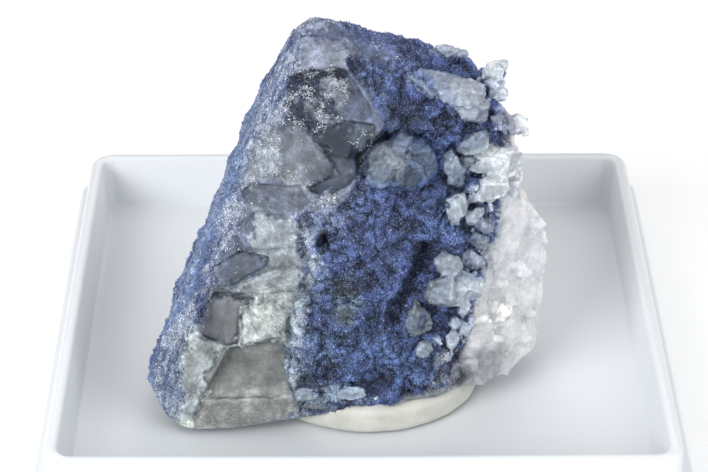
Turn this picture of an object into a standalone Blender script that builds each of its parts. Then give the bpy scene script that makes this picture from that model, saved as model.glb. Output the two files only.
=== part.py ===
"""A dumortierite and quartz specimen, held by a disc of putty in the white base of a small display box.

The frame has its origin at the centre of the box base's underside, with +Z up. The broken quartz
face and the felted blue face look towards -Y. Sizes below are millimetres, turned to metres by MM.
"""

import math
import random

import bmesh
import bpy
from mathutils import Matrix, Vector, noise
from mathutils.bvhtree import BVHTree

MM = 0.001

# Box base: a square tray whose outer ledge carries the lid.
LEDGE_SIDE = 57.0
LEDGE_HEIGHT = 3.2
RIM_SIDE = 54.4
RIM_HEIGHT = 7.0
CAVITY_TOP_SIDE = 52.0
CAVITY_FLOOR_SIDE = 51.2
FLOOR_HEIGHT = 1.8
FOOT_RECESS = 0.6
FOOT_WIDTH = 1.6
BOX_CORNER_RADIUS = 2.2
CAVITY_CORNER_RADIUS = 1.2
BOX_EDGE_RADIUS = 0.25

# Putty: a pressed disc that the rock is bedded in.
PUTTY_CENTRE = (0.3, -5.5)
PUTTY_RADIUS = 10.3
PUTTY_TOP = 5.6
CLEARANCE = 0.3

# Rock: corners of the quartz body, read round each of its edges from the bottom up.
FRONT_LEFT_EDGE = [
    (-17.0, -14.6, 2.2), (-19.4, -13.6, 6.2), (-18.2, -12.6, 9.3), (-14.2, -10.0, 16.7),
    (-11.4, -8.0, 23.5), (-9.5, -6.5, 28.0), (-7.4, -5.0, 32.7), (-5.6, -4.0, 35.8),
]
BACK_LEFT_EDGE = [
    (-17.5, -3.0, 3.4), (-15.9, -1.0, 9.9), (-13.8, 0.0, 15.4),
    (-11.3, 1.0, 21.6), (-9.2, 2.0, 27.2), (-5.8, 1.0, 32.6),
]
FRONT_RIDGE = [
    (-6.4, -16.0, 4.5), (-5.8, -15.3, 11.7), (-5.2, -13.8, 18.9), (-1.4, -11.8, 23.7),
    (1.9, -9.7, 29.4), (3.3, -6.2, 33.0),
]
FRONT_RIGHT_EDGE = [
    (9.8, -12.5, 4.6), (10.4, -12.0, 10.4), (10.8, -11.0, 16.0),
    (11.4, -9.5, 22.2), (12.0, -8.0, 26.4), (11.8, -6.5, 30.3), (10.6, -5.0, 32.6),
]
CREST = [(-4.2, -3.0, 36.8), (-1.0, -2.5, 35.9), (2.0, -2.0, 34.9), (5.5, -2.0, 33.6), (8.4, -3.0, 33.5)]
LOWER_FRONT = [
    (-15.2, -16.2, 2.2), (-10.9, -16.3, 3.0), (-3.3, -16.0, 4.9), (3.1, -15.6, 4.9), (7.2, -14.0, 4.8),
]
BACK_RIGHT = [
    (9.5, 2.5, 4.8), (11.0, 3.5, 14.0), (9.5, 3.0, 24.0), (7.5, 1.5, 30.0),
    (-6.0, 3.5, 4.4), (-2.0, 4.2, 16.0),
]

# The white quartz end that stands out on the right.
DRUSE_CORNERS = [
    (13.9, -6.3, 20.4), (16.7, -4.4, 15.2), (17.2, -4.4, 6.4), (16.2, -5.6, 4.5), (13.6, -9.7, 3.7),
    (13.8, -4.8, 25.2), (13.1, -3.6, 28.2), (10.2, -12.6, 4.3), (10.2, -10.6, 14.0), (11.0, -8.4, 23.0),
    (13.0, 0.5, 24.0), (15.2, 1.5, 14.0), (14.6, 1.8, 5.0), (9.0, 2.6, 4.8), (8.5, 2.0, 26.0),
]
ROCK_VOXEL = 0.55
ROCK_TRIANGLES = 3900

# Places on the front are given as the eye sees them: where a line of sight crosses the plane y = SIGHT_PLANE.
EYE = Vector((-2.0, -203.0, 132.1))
SIGHT_PLANE = -10.0
FELT_LEFT_EDGE = [
    (-6.4, 0.3), (-6.5, 2.2), (-6.9, 4.1), (-6.6, 8.0), (-6.2, 11.3), (-5.5, 13.4),
    (-5.0, 15.5), (-5.8, 17.5), (-5.3, 19.8), (-4.1, 21.3), (-1.1, 22.6), (0.3, 24.7),
    (2.0, 29.6), (1.3, 31.5), (-0.9, 35.4), (-0.9, 40.0),
]
DRUSE_LEFT_EDGE = [
    (8.0, 3.2), (9.4, 5.9), (9.9, 8.6), (10.3, 11.2), (10.6, 13.3), (10.7, 16.4), (11.2, 19.5), (11.7, 22.5),
    (11.9, 26.0), (12.4, 29.0), (12.6, 40.0),
]

# Relief of each surface: height of its lumps and distance between them.
FELT_LUMP, FELT_PITCH = 1.15, 4.2
SMOOTH_CRUST_LUMP, SMOOTH_CRUST_PITCH = 0.75, 7.5
DRUSE_LUMP, DRUSE_PITCH = 1.0, 2.6
BREAK_LUMP, BREAK_PITCH = 0.35, 5.0

# Deep hollows in the felted crust: sighted place, radius, depth. Five of them in a row make its long crevice.
FELT_HOLLOWS = [
    ((-3.2, 18.3), 0.9, 1.8), ((0.5, 27.0), 0.9, 2.0), ((2.3, 28.8), 0.9, 1.6), ((4.2, 30.4), 1.5, 0.6),
    ((7.0, 30.6), 1.3, 0.5), ((8.0, 27.7), 0.7, 0.8), ((1.2, 3.4), 1.4, 0.5), ((-5.4, 17.2), 0.9, 0.8),
    ((5.8, 17.1), 1.0, 1.2), ((5.1, 15.7), 1.0, 1.5), ((4.3, 14.2), 1.0, 1.6), ((3.5, 12.4), 1.0, 1.4),
    ((3.3, 10.6), 0.9, 1.0),
]
# Rounded swells of the felted crust: sighted place, radius, height.
FELT_SWELLS = [
    ((1.1, 18.0), 3.4, 1.0), ((-2.9, 13.6), 2.6, 0.6), ((2.4, 22.0), 2.6, 0.5), ((-1.5, 7.1), 3.2, 0.7),
    ((3.4, 7.6), 2.4, 0.5), ((6.8, 20.0), 2.0, 0.5), ((4.9, 33.2), 2.6, 0.5), ((-4.6, 8.1), 1.8, 0.4),
    ((0.8, 11.2), 2.2, 0.5),
]

# Facets broken into the quartz: corners as sighted x, sighted z, depth. Depth 0 is where the facet runs out.
BREAK_FACETS = {
    "under_top_slab": [
        (-6.3, 34.6, 0.9), (-4.9, 35.2, 1.6), (-1.7, 35.4, 1.7), (-0.6, 34.0, 1.0),
        (1.0, 31.0, 0.2), (-1.1, 29.4, 0), (-4.3, 29.4, 0.5), (-6.6, 30.8, 0),
    ],
    "dark_window": [
        (-4.4, 28.9, 0.4), (-1.5, 30.4, 0.7), (1.2, 30.0, 0.9), (0.3, 26.0, 1.7),
        (-1.1, 24.1, 0.9), (-3.2, 22.8, 0.2), (-4.7, 23.6, 0.8),
    ],
    "left_hollow": [
        (-10.6, 23.6, 0.6), (-8.7, 24.8, 1.3), (-7.4, 25.0, 1.4), (-5.4, 23.8, 1.2),
        (-4.5, 22.4, 0.3), (-6.3, 20.4, 0), (-8.7, 21.3, 0), (-10.2, 21.9, 0),
    ],
    "dark_shelf": [
        (-13.2, 15.8, 0.2), (-10.7, 17.5, 1.0), (-8.0, 16.9, 1.2), (-8.6, 15.5, 1.1),
        (-10.8, 13.9, 0.8), (-13.2, 13.4, 0.2),
    ],
    "left_pocket": [
        (-13.1, 13.3, 1.0), (-10.7, 13.1, 1.3), (-9.0, 12.4, 1.3), (-9.6, 10.0, 1.0),
        (-10.9, 7.9, 0.9), (-12.2, 7.5, 1.0), (-14.2, 8.6, 0.6), (-15.1, 10.2, 0),
    ],
    "lower_window": [
        (-12.1, 7.3, 1.0), (-10.4, 7.6, 1.1), (-7.4, 8.4, 1.0), (-6.6, 7.1, 0.5),
        (-6.2, 2.0, 0.1), (-11.1, 1.9, 0), (-14.4, 1.8, 0.3), (-14.1, 4.3, 0.7),
    ],
}

# Slabs of quartz left standing by the break, and the largest crystals: corners as sighted x and z, then the
# height of the slab and the share of its width that its sides slope in by.
SLABS = {
    "top_slab": (
        [(-5.9, 34.7), (-6.3, 36.0), (-5.2, 38.0), (-2.1, 38.0), (-0.7, 36.8), (-1.5, 35.4), (-4.3, 35.2)],
        0.45, 0.25,
    ),
    "upper_chunk": (
        [
            (-7.4, 29.6), (-5.2, 29.7), (-3.0, 27.2), (-2.2, 25.3),
            (-4.7, 23.8), (-7.8, 25.2), (-10.3, 24.4), (-9.0, 28.2),
        ],
        0.8, 0.3,
    ),
    "striated_slab": (
        [(-9.3, 21.5), (-7.3, 21.1), (-5.9, 20.0), (-5.9, 18.0), (-8.6, 16.7), (-10.7, 18.0), (-10.9, 19.3)],
        0.6, 0.3,
    ),
    "light_band": (
        [(-12.6, 13.4), (-10.5, 14.0), (-8.6, 15.8), (-6.2, 16.2), (-5.0, 15.3), (-5.5, 13.4), (-9.5, 12.4)],
        0.5, 0.3,
    ),
    "white_chunk": (
        [(-11.0, 8.2), (-10.9, 7.3), (-7.0, 8.6), (-6.7, 11.3), (-7.9, 12.1), (-9.1, 12.6), (-10.8, 11.2)],
        1.6, 0.28,
    ),
    "lower_left_slab": (
        [
            (-16.0, 9.2), (-14.1, 8.6), (-12.0, 7.4), (-14.0, 5.2),
            (-14.3, 2.2), (-15.4, 0.2), (-17.0, 0.2), (-18.2, 5.8),
        ],
        0.55, 0.2,
    ),
    "cavity_crystal": (
        [
            (0.7, 24.5), (0.6, 26.7), (1.9, 27.8), (2.9, 29.0), (4.5, 28.4),
            (6.3, 26.0), (5.8, 24.7), (5.0, 23.9), (2.6, 23.7),
        ],
        1.7, 0.42,
    ),
    "upper_crystal": (
        [
            (4.1, 34.4), (6.5, 34.7), (9.8, 33.7), (10.3, 31.9),
            (10.2, 30.6), (8.8, 30.5), (6.6, 32.3), (5.0, 33.2),
        ],
        1.3, 0.35,
    ),
}

# Smaller blocks of clear and white quartz: sighted place, length, breadth, roll in degrees, sides, height.
BLOCKS = {
    "crest_block": ((7.2, 36.6), 3.8, 1.5, -10, 6, 1.2),
    "corner_block_a": ((10.4, 33.9), 1.5, 1.2, 20, 6, 0.9),
    "corner_block_b": ((11.4, 32.8), 1.6, 1.4, -20, 6, 1.0),
    "seed_a": ((11.3, 31.5), 0.8, 0.7, 10, 6, 0.7),
    "seed_b": ((11.5, 30.4), 1.1, 0.8, -60, 6, 0.7),
    "seed_c": ((11.9, 29.6), 0.7, 0.6, 30, 6, 0.6),
    "shoulder_top": ((9.4, 28.1), 2.8, 1.3, 28, 6, 1.2),
    "shoulder_main": ((10.4, 26.4), 4.6, 2.0, 8, 7, 1.8),
    "shoulder_left": ((7.8, 25.7), 3.6, 1.4, -62, 6, 1.3),
    "shoulder_low": ((10.5, 23.7), 3.6, 2.2, 20, 7, 1.6),
    "white_block": ((8.2, 21.9), 3.2, 1.9, -75, 6, 1.5),
    "small_block_a": ((9.7, 21.1), 1.8, 1.2, 12, 5, 1.0),
    "small_block_b": ((10.6, 19.9), 1.4, 1.2, -10, 6, 0.8),
    "small_block_c": ((9.7, 18.5), 1.4, 0.9, -30, 5, 0.7),
    "middle_block_a": ((7.6, 15.8), 2.6, 1.9, -35, 6, 1.6),
    "middle_block_b": ((7.6, 13.3), 3.6, 2.4, 5, 7, 2.0),
    "middle_block_c": ((9.7, 14.0), 2.8, 1.7, 18, 6, 1.5),
    "grey_pyramid": ((5.0, 10.2), 2.6, 2.2, 60, 5, 1.9),
    "white_cube": ((5.6, 6.9), 1.2, 1.1, 25, 4, 1.0),
    "white_rod": ((9.2, 11.6), 1.3, 0.7, 40, 6, 0.9),
    "white_grain_a": ((8.4, 10.1), 0.9, 0.8, -30, 6, 0.7),
    "white_grain_b": ((6.7, 8.1), 1.2, 0.7, -65, 6, 0.6),
    "white_grain_c": ((8.3, 7.9), 2.0, 1.5, 60, 6, 0.9),
    "foot_block_a": ((-1.1, 2.6), 2.9, 1.2, 8, 6, 0.8),
    "foot_block_b": ((-4.7, 2.6), 2.0, 1.4, 10, 6, 0.8),
    "druse_rod": ((12.5, 11.0), 2.0, 0.9, 15, 6, 0.9),
}
POINTED_CRYSTALS = {
    "corner_tip": ((10.4, 34.6), (0.80, -0.10, 0.42), 1.5, 3.6),
    "far_right_tip": ((12.4, 29.6), (0.92, -0.10, 0.10), 1.9, 3.0),
}
BLOCK_ROOT = 1.0
DRUSE_CRYSTALS = 40
DRUSE_SEED = 11


def clear_scene():
    for obj in list(bpy.data.objects):
        bpy.data.objects.remove(obj, do_unlink=True)


def material(name, colour, roughness):
    made = bpy.data.materials.new(name)
    made.use_nodes = True
    shader = made.node_tree.nodes["Principled BSDF"]
    shader.inputs["Base Color"].default_value = (*colour, 1.0)
    shader.inputs["Roughness"].default_value = roughness
    shader.inputs["Metallic"].default_value = 0.0
    return made


def collection(name, shown):
    made = bpy.data.collections.new(name)
    bpy.context.scene.collection.children.link(made)
    made.hide_render = not shown
    return made


def add_object(name, mesh, where, finish=None):
    obj = bpy.data.objects.new(name, mesh)
    where.objects.link(obj)
    if finish:
        mesh.materials.clear()
        mesh.materials.append(finish)
    if where.hide_render:
        obj.hide_render = True
        obj.display_type = "WIRE"
    return obj


def mesh_from(bm, name):
    mesh = bpy.data.meshes.new(name)
    bm.to_mesh(mesh)
    bm.free()
    return mesh


def baked(obj):
    """Replaces an object's mesh by what its modifiers make of it."""
    graph = bpy.context.evaluated_depsgraph_get()
    graph.update()
    made = bpy.data.meshes.new_from_object(obj.evaluated_get(graph))
    obj.modifiers.clear()
    obj.data = made
    return obj


def boolean(obj, operation, other):
    cut = obj.modifiers.new(operation.lower(), "BOOLEAN")
    cut.operation = operation
    cut.solver = "EXACT"
    if isinstance(other, bpy.types.Collection):
        cut.operand_type = "COLLECTION"
        cut.collection = other
    else:
        cut.object = other


# Box base.


def rounded_block(side, low, high, corner, top_side=None):
    """A square block with round upright edges, whose top may be wider than its foot."""
    bm = bmesh.new()
    bmesh.ops.create_cube(bm, size=1.0)
    for v in bm.verts:
        v.co = Vector((v.co.x * side, v.co.y * side, high if v.co.z > 0 else low)) * MM
    upright = [e for e in bm.edges if abs(e.verts[0].co.z - e.verts[1].co.z) > 1e-6]
    bmesh.ops.bevel(bm, geom=upright, offset=corner * MM, segments=4, profile=0.5, affect="EDGES")
    spread = (top_side or side) / side
    for v in bm.verts:
        if v.co.z > (low + high) / 2 * MM:
            v.co.x *= spread
            v.co.y *= spread
    bmesh.ops.recalc_face_normals(bm, faces=bm.faces)
    return mesh_from(bm, "block")


def build_box_base(parts, cutters, finish):
    ledge = rounded_block(LEDGE_SIDE, 0, LEDGE_HEIGHT, BOX_CORNER_RADIUS)
    base = add_object("display_box_base", ledge, parts, finish)
    rim = rounded_block(RIM_SIDE, LEDGE_HEIGHT / 2, RIM_HEIGHT, BOX_CORNER_RADIUS)
    cavity = rounded_block(
        CAVITY_FLOOR_SIDE, FLOOR_HEIGHT, 2 * RIM_HEIGHT - FLOOR_HEIGHT, CAVITY_CORNER_RADIUS,
        2 * CAVITY_TOP_SIDE - CAVITY_FLOOR_SIDE,
    )
    recess = rounded_block(LEDGE_SIDE - 2 * FOOT_WIDTH, -1.0, FOOT_RECESS, CAVITY_CORNER_RADIUS)
    boolean(base, "UNION", add_object("rim_block", rim, cutters))
    boolean(base, "DIFFERENCE", add_object("cavity_block", cavity, cutters))
    boolean(base, "DIFFERENCE", add_object("foot_recess_block", recess, cutters))
    edges = base.modifiers.new("soft_edges", "BEVEL")
    edges.width = BOX_EDGE_RADIUS * MM
    edges.segments = 1
    edges.limit_method = "ANGLE"
    edges.angle_limit = math.radians(50)
    return base


# Rock body.


def hull_of(corners, grow=0.0):
    bm = bmesh.new()
    for corner in corners:
        bm.verts.new(Vector(corner) * MM)
    made = bmesh.ops.convex_hull(bm, input=bm.verts)
    inner = {g for g in made["geom_interior"] + made["geom_unused"] if isinstance(g, bmesh.types.BMVert)}
    bmesh.ops.delete(bm, geom=list(inner), context="VERTS")
    bmesh.ops.recalc_face_normals(bm, faces=bm.faces)
    if grow:
        bm.normal_update()
        centre = sum((v.co for v in bm.verts), Vector()) / len(bm.verts)
        for v in bm.verts:
            v.co += (v.co - centre).normalized() * grow * MM
    return mesh_from(bm, "hull")


def body_corners():
    return (
        FRONT_LEFT_EDGE + BACK_LEFT_EDGE + FRONT_RIDGE + FRONT_RIGHT_EDGE + CREST + LOWER_FRONT + BACK_RIGHT
    )


def sighted(point):
    """Where the line of sight to a point crosses the sight plane, as (x, z) in millimetres."""
    p = Vector(point) / MM
    t = (SIGHT_PLANE - EYE.y) / (p.y - EYE.y)
    cross = EYE + (p - EYE) * t
    return cross.x, cross.z


def across_at(edge, height):
    """The x of a sighted edge line at a height."""
    if height <= edge[0][1]:
        return edge[0][0]
    for (x0, z0), (x1, z1) in zip(edge, edge[1:]):
        if z0 <= height <= z1:
            return x0 + (x1 - x0) * (height - z0) / max(z1 - z0, 1e-6)
    return edge[-1][0]


def smooth_step(low, high, value):
    t = min(1.0, max(0.0, (value - low) / (high - low)))
    return t * t * (3 - 2 * t)


def surface_shares(point, normal):
    """How much of each surface a point belongs to: felt, druse, break, smooth crust, underside."""
    x, z = sighted(point)
    view = (EYE * MM - point).normalized()
    facing = smooth_step(-0.02, 0.12, normal.dot(view))
    under = smooth_step(0.45, 0.8, -normal.z)
    druse = smooth_step(-0.6, 0.6, x - across_at(DRUSE_LEFT_EDGE, z))
    druse = max(druse, smooth_step(11.2, 12.4, point.x / MM))
    felt = smooth_step(-0.5, 0.5, x - across_at(FELT_LEFT_EDGE, z)) * (1 - druse) * facing
    broken = (1 - smooth_step(-0.5, 0.5, x - across_at(FELT_LEFT_EDGE, z))) * (1 - druse) * facing
    crust = max(0.0, 1 - druse - felt - broken)
    return felt * (1 - under), druse * (1 - under), broken * (1 - under), crust * (1 - under), under


def lumps(point, pitch, seed):
    """Rounded lumps with creases between them, from -1 to 1."""
    p = point / MM / pitch + Vector((seed, 0, 0))
    return 1.0 - 2.2 * noise.voronoi(p)[0][0]


def waves(point, pitch, seed):
    return noise.noise(point / MM / pitch + Vector((seed, 7.3, 1.9)))


def relief(point, normal):
    """Height in millimetres that the surface stands out at a point."""
    felt, druse, broken, crust, _ = surface_shares(point, normal)
    x, z = sighted(point)
    height = felt * FELT_LUMP * (0.55 * lumps(point, FELT_PITCH, 0) + 0.45 * waves(point, FELT_PITCH / 2, 5))
    for (hx, hz), radius, depth in FELT_HOLLOWS:
        height -= felt * depth * math.exp(-((x - hx) ** 2 + (z - hz) ** 2) / (radius * radius))
    for (hx, hz), radius, rise in FELT_SWELLS:
        height += felt * rise * math.exp(-((x - hx) ** 2 + (z - hz) ** 2) / (radius * radius))
    height += druse * DRUSE_LUMP * 0.7 * lumps(point, DRUSE_PITCH, 3)
    height += crust * SMOOTH_CRUST_LUMP * waves(point, SMOOTH_CRUST_PITCH, 2)
    height += crust * 0.3 * waves(point, SMOOTH_CRUST_PITCH / 3, 8)
    height += broken * BREAK_LUMP * waves(point, BREAK_PITCH, 9)
    return height


def build_rock_body(parts, finish):
    """The hulls of the body and the druse, melted into one and given their relief."""
    bm = bmesh.new()
    for corners in (body_corners(), DRUSE_CORNERS):
        bm.from_mesh(hull_of(corners))
    rock = add_object("dumortierite_specimen", mesh_from(bm, "rock"), parts, finish)
    melt = rock.modifiers.new("melt", "REMESH")
    melt.mode = "VOXEL"
    melt.voxel_size = ROCK_VOXEL * MM
    ease = rock.modifiers.new("ease", "SMOOTH")
    ease.iterations = 2
    baked(rock)
    moved = [v.co + v.normal * relief(v.co, v.normal) * MM for v in rock.data.vertices]
    for v, place in zip(rock.data.vertices, moved):
        v.co = place
    thin = rock.modifiers.new("thin", "DECIMATE")
    thin.ratio = ROCK_TRIANGLES / (2 * len(rock.data.polygons))
    thin.use_collapse_triangulate = True
    return baked(rock)


class Sight:
    """Finds where a line of sight from the eye meets the rock."""

    def __init__(self, obj):
        bm = bmesh.new()
        bm.from_mesh(obj.data)
        self.tree = BVHTree.FromBMesh(bm)
        bm.free()

    def meet(self, place):
        """The met point and its normal for a sighted (x, z), or the nearest point to a line that misses."""
        line = (Vector((place[0], SIGHT_PLANE, place[1])) - EYE).normalized()
        point, normal, _, _ = self.tree.ray_cast(EYE * MM, line)
        if point is None:
            aim = EYE + line * -EYE.y / line.y
            point, normal, _, _ = self.tree.find_nearest(aim * MM)
        return point, normal


# Facets, slabs and blocks.


def set_in(sight, x, z, depth):
    """The rock's surface on a line of sight, moved along that line: inwards for a depth, outwards below 0."""
    point, _ = sight.meet((x, z))
    line = (Vector((x, SIGHT_PLANE, z)) - EYE).normalized()
    return point + line * depth * MM


def hull_object(name, points, where):
    return add_object(name, hull_of([p / MM for p in points]), where)


def cut_break_facets(rock):
    """Each cutter reaches out of the rock from a facet that is deep on one side and runs out on the other."""
    sight = Sight(rock)
    tools = collection("facet_cutters", shown=False)
    for name, corners in BREAK_FACETS.items():
        outside = [set_in(sight, x, z, -3.0) for x, z, _ in corners]
        inside = [set_in(sight, x, z, depth if depth else -0.12) for x, z, depth in corners]
        hull_object(name, outside + inside, tools)
    boolean(rock, "DIFFERENCE", tools)
    return baked(rock)


def slab_points(sight, outline, height, slope, seed):
    """Corners of a block rooted in the rock, its top smaller than its foot and unevenly tilted."""
    middle_x = sum(x for x, _ in outline) / len(outline)
    middle_z = sum(z for _, z in outline) / len(outline)
    points = [set_in(sight, x, z, BLOCK_ROOT) for x, z in outline]
    for n, (x, z) in enumerate(outline):
        stand = height * (0.78 + 0.3 * math.sin(seed * 3.7 + n * 1.9))
        inward = slope * (1.0 + 0.5 * math.sin(seed * 5.3 + n * 2.6))
        top = (x + (middle_x - x) * inward, z + (middle_z - z) * inward)
        points.append(set_in(sight, *top, -stand))
        points.append(set_in(sight, x, z, -0.3 * stand))
    return points


def block_outline(place, length, breadth, roll, sides, seed):
    turn = math.radians(roll)
    outline = []
    for n in range(sides):
        angle = 2 * math.pi * (n + 0.28 * math.sin(seed * 2.1 + n * 3.3)) / sides
        along = 0.5 * length * math.cos(angle)
        across = 0.5 * breadth * math.sin(angle)
        x = place[0] + along * math.cos(turn) - across * math.sin(turn)
        z = place[1] + along * math.sin(turn) + across * math.cos(turn)
        outline.append((x, z))
    return outline


def crystal_mesh(axis, width, length, spin, seed):
    """A six-sided quartz prism with a pointed end, along an axis, with its root at the origin."""
    bm = bmesh.new()
    shoulder = 0.62 + 0.1 * math.sin(seed * 5.1)
    foot, top_width = 0.92 * width, width
    bmesh.ops.create_cone(
        bm, cap_ends=True, segments=6, radius1=foot / 2, radius2=top_width / 2, depth=shoulder * length,
    )
    bmesh.ops.translate(bm, verts=bm.verts, vec=(0, 0, shoulder * length / 2))
    top = [f for f in bm.faces if f.normal.z > 0.9]
    tip = bmesh.ops.poke(bm, faces=top)["verts"][0]
    off_centre = Vector((0.12 * math.cos(seed * 2.3), 0.12 * math.sin(seed * 3.1), 0)) * width
    tip.co = Vector((0, 0, length)) + off_centre
    flat = 0.72 + 0.2 * math.sin(seed * 1.7)
    turn = axis.to_track_quat("Z", "Y").to_matrix().to_4x4() @ Matrix.Rotation(spin, 4, "Z")
    squeeze = Matrix.Diagonal((1, flat, 1, 1))
    bmesh.ops.transform(bm, matrix=Matrix.Scale(MM, 4) @ turn @ squeeze, verts=bm.verts)
    return bm


def place_crystal(name, root, axis, width, length, seed, where):
    bm = crystal_mesh(axis, width, length, seed * 0.9, seed)
    bmesh.ops.translate(bm, verts=bm.verts, vec=root)
    return add_object(name, mesh_from(bm, name), where)


def scatter_druse(rock, where):
    """Small crystals all over the white end, rooted in it and leaning outwards."""
    chance = random.Random(DRUSE_SEED)
    faces = [
        f for f in rock.data.polygons
        if surface_shares(f.center, f.normal)[1] > 0.7 and f.center.z > 6.5 * MM
    ]
    roots = []
    for n in range(4000):
        face = chance.choice(faces)
        if chance.random() > face.area / (1.2 * MM) ** 2:
            continue
        if all((face.center - other).length > 2.2 * MM for other in roots):
            roots.append(face.center.copy())
            lean = Vector([chance.uniform(-0.6, 0.6) for _ in range(3)])
            axis = (face.normal + lean).normalized()
            width = chance.uniform(1.6, 2.8)
            length = width * chance.uniform(1.0, 1.4)
            root = face.center - axis * 0.62 * length * MM
            place_crystal(f"druse_crystal_{n}", root, axis, width, length, n * 0.37, where)
        if len(roots) == DRUSE_CRYSTALS:
            break


def keep_outer_shell(obj):
    """Drops the small closed pockets that blocks crowded together leave inside the rock."""
    bm = bmesh.new()
    bm.from_mesh(obj.data)
    left = set(bm.verts)
    shells = []
    while left:
        shell = {left.pop()}
        waiting = list(shell)
        while waiting:
            v = waiting.pop()
            near = {e.other_vert(v) for e in v.link_edges} & left
            left -= near
            shell |= near
            waiting.extend(near)
        shells.append(shell)
    shells.sort(key=len)
    for shell in shells[:-1]:
        bmesh.ops.delete(bm, geom=list(shell), context="VERTS")
    bm.to_mesh(obj.data)
    bm.free()
    return obj


def grow_crystals(rock):
    crystals = collection("crystals", shown=False)
    sight = Sight(rock)
    for n, (name, (outline, height, slope)) in enumerate(SLABS.items()):
        hull_object(name, slab_points(sight, outline, height, slope, n), crystals)
    for n, (name, (place, length, breadth, roll, sides, height)) in enumerate(BLOCKS.items()):
        outline = block_outline(place, length, breadth, roll, sides, n)
        hull_object(name, slab_points(sight, outline, height, 0.35, n + 0.5), crystals)
    for n, (name, (place, axis, width, length)) in enumerate(POINTED_CRYSTALS.items()):
        direction = Vector(axis).normalized()
        root = set_in(sight, *place, 0.4) - direction * 0.4 * length * MM
        place_crystal(name, root, direction, width, length, n + 1, crystals)
    scatter_druse(rock, crystals)
    boolean(rock, "UNION", crystals)
    return keep_outer_shell(baked(rock))


# Putty.


def build_putty(parts, cutters, finish):
    """A turned disc with a bulging side, hollowed by the rock that was pressed into it."""
    low = FLOOR_HEIGHT + CLEARANCE
    profile = [
        (0, PUTTY_TOP - 0.3), (PUTTY_RADIUS - 2.2, PUTTY_TOP - 0.3), (PUTTY_RADIUS - 0.9, PUTTY_TOP - 0.7),
        (PUTTY_RADIUS - 0.2, (PUTTY_TOP + low) / 2 + 0.3), (PUTTY_RADIUS, low + 0.9),
        (PUTTY_RADIUS - 0.3, low), (0, low),
    ]
    mesh = bpy.data.meshes.new("putty")
    points = [(x * MM, 0, z * MM) for x, z in profile]
    mesh.from_pydata(points, [(i, i + 1) for i in range(len(points) - 1)], [])
    putty = add_object("mounting_putty", mesh, parts, finish)
    putty.location = (PUTTY_CENTRE[0] * MM, PUTTY_CENTRE[1] * MM, 0)
    turn = putty.modifiers.new("turn", "SCREW")
    turn.steps = turn.render_steps = 32
    turn.use_merge_vertices = True
    turn.merge_threshold = 0.00005
    turn.use_normal_flip = False
    press = add_object("rock_imprint", hull_of(body_corners() + DRUSE_CORNERS, grow=0.6), cutters)
    boolean(putty, "DIFFERENCE", press)
    return putty


def main():
    clear_scene()
    parts = collection("dumortierite_specimen_in_box", shown=True)
    cutters = collection("cutters", shown=False)
    white_plastic = material("white_plastic", (0.86, 0.87, 0.89), 0.35)
    putty_clay = material("putty_clay", (0.78, 0.76, 0.70), 0.75)
    blue_rock = material("dumortierite_and_quartz", (0.16, 0.20, 0.42), 0.55)
    build_box_base(parts, cutters, white_plastic)
    rock = build_rock_body(parts, blue_rock)
    cut_break_facets(rock)
    grow_crystals(rock)
    build_putty(parts, cutters, putty_clay)


main()
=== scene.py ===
import math

import bpy
import numpy as np
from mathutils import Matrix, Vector, noise
from mathutils.bvhtree import BVHTree


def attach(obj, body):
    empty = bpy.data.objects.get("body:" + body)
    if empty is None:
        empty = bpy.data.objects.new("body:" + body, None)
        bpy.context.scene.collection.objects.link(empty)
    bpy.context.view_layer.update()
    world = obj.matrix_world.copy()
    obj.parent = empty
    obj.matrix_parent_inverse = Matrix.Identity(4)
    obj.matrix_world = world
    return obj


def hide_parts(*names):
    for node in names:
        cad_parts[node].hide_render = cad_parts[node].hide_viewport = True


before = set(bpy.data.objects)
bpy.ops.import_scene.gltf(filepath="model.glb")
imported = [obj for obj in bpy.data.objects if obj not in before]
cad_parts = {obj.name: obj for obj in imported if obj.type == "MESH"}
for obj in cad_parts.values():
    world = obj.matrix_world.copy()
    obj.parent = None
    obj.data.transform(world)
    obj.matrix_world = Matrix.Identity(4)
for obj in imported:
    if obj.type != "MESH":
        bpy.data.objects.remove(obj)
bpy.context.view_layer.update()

mm = 0.001
print("frame loaded:", ", ".join(sorted(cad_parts)))

# The photograph's view. Its pixels (708 x 472) place what is seen on the front of the rock.
photoView = {
    "eye": (-2.01, -203.01, 132.13),   # mm
    "pitch": 30.39,                    # degrees below level
    "yaw": 0.384,                      # degrees to the right of +Y
    "focal": 2555.25,                  # pixels
    "width": 708,
    "height": 472,
}


def viewAxes():
    pitch = math.radians(photoView["pitch"])
    yaw = math.radians(photoView["yaw"])
    ahead = np.array([math.sin(yaw) * math.cos(pitch), math.cos(yaw) * math.cos(pitch), -math.sin(pitch)])
    right = np.array([math.cos(yaw), -math.sin(yaw), 0.0])
    return right, np.cross(right, ahead), ahead


def photoPixels(points):
    # where points (metres) show in the photograph, and the unit lines of sight to them
    right, up, ahead = viewAxes()
    sight = points / mm - np.array(photoView["eye"])
    depth = sight @ ahead
    px = photoView["width"] / 2 + photoView["focal"] * (sight @ right) / depth
    py = photoView["height"] / 2 - photoView["focal"] * (sight @ up) / depth
    return px, py, sight / np.linalg.norm(sight, axis=1)[:, None]


def sightLine(px, py):
    right, up, ahead = viewAxes()
    line = ahead + right * (px - photoView["width"] / 2) / photoView["focal"]
    line = line - up * (py - photoView["height"] / 2) / photoView["focal"]
    return Vector(photoView["eye"]) * mm, Vector(line).normalized()


def linear(hexColour):
    values = [int(hexColour[i:i + 2], 16) / 255 for i in (1, 3, 5)]
    return [v / 12.92 if v <= 0.04045 else ((v + 0.055) / 1.055) ** 2.4 for v in values]


def clearSelection():
    if bpy.context.mode != "OBJECT":
        bpy.ops.object.mode_set(mode="OBJECT")
    bpy.ops.object.select_all(action="DESELECT")


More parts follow.
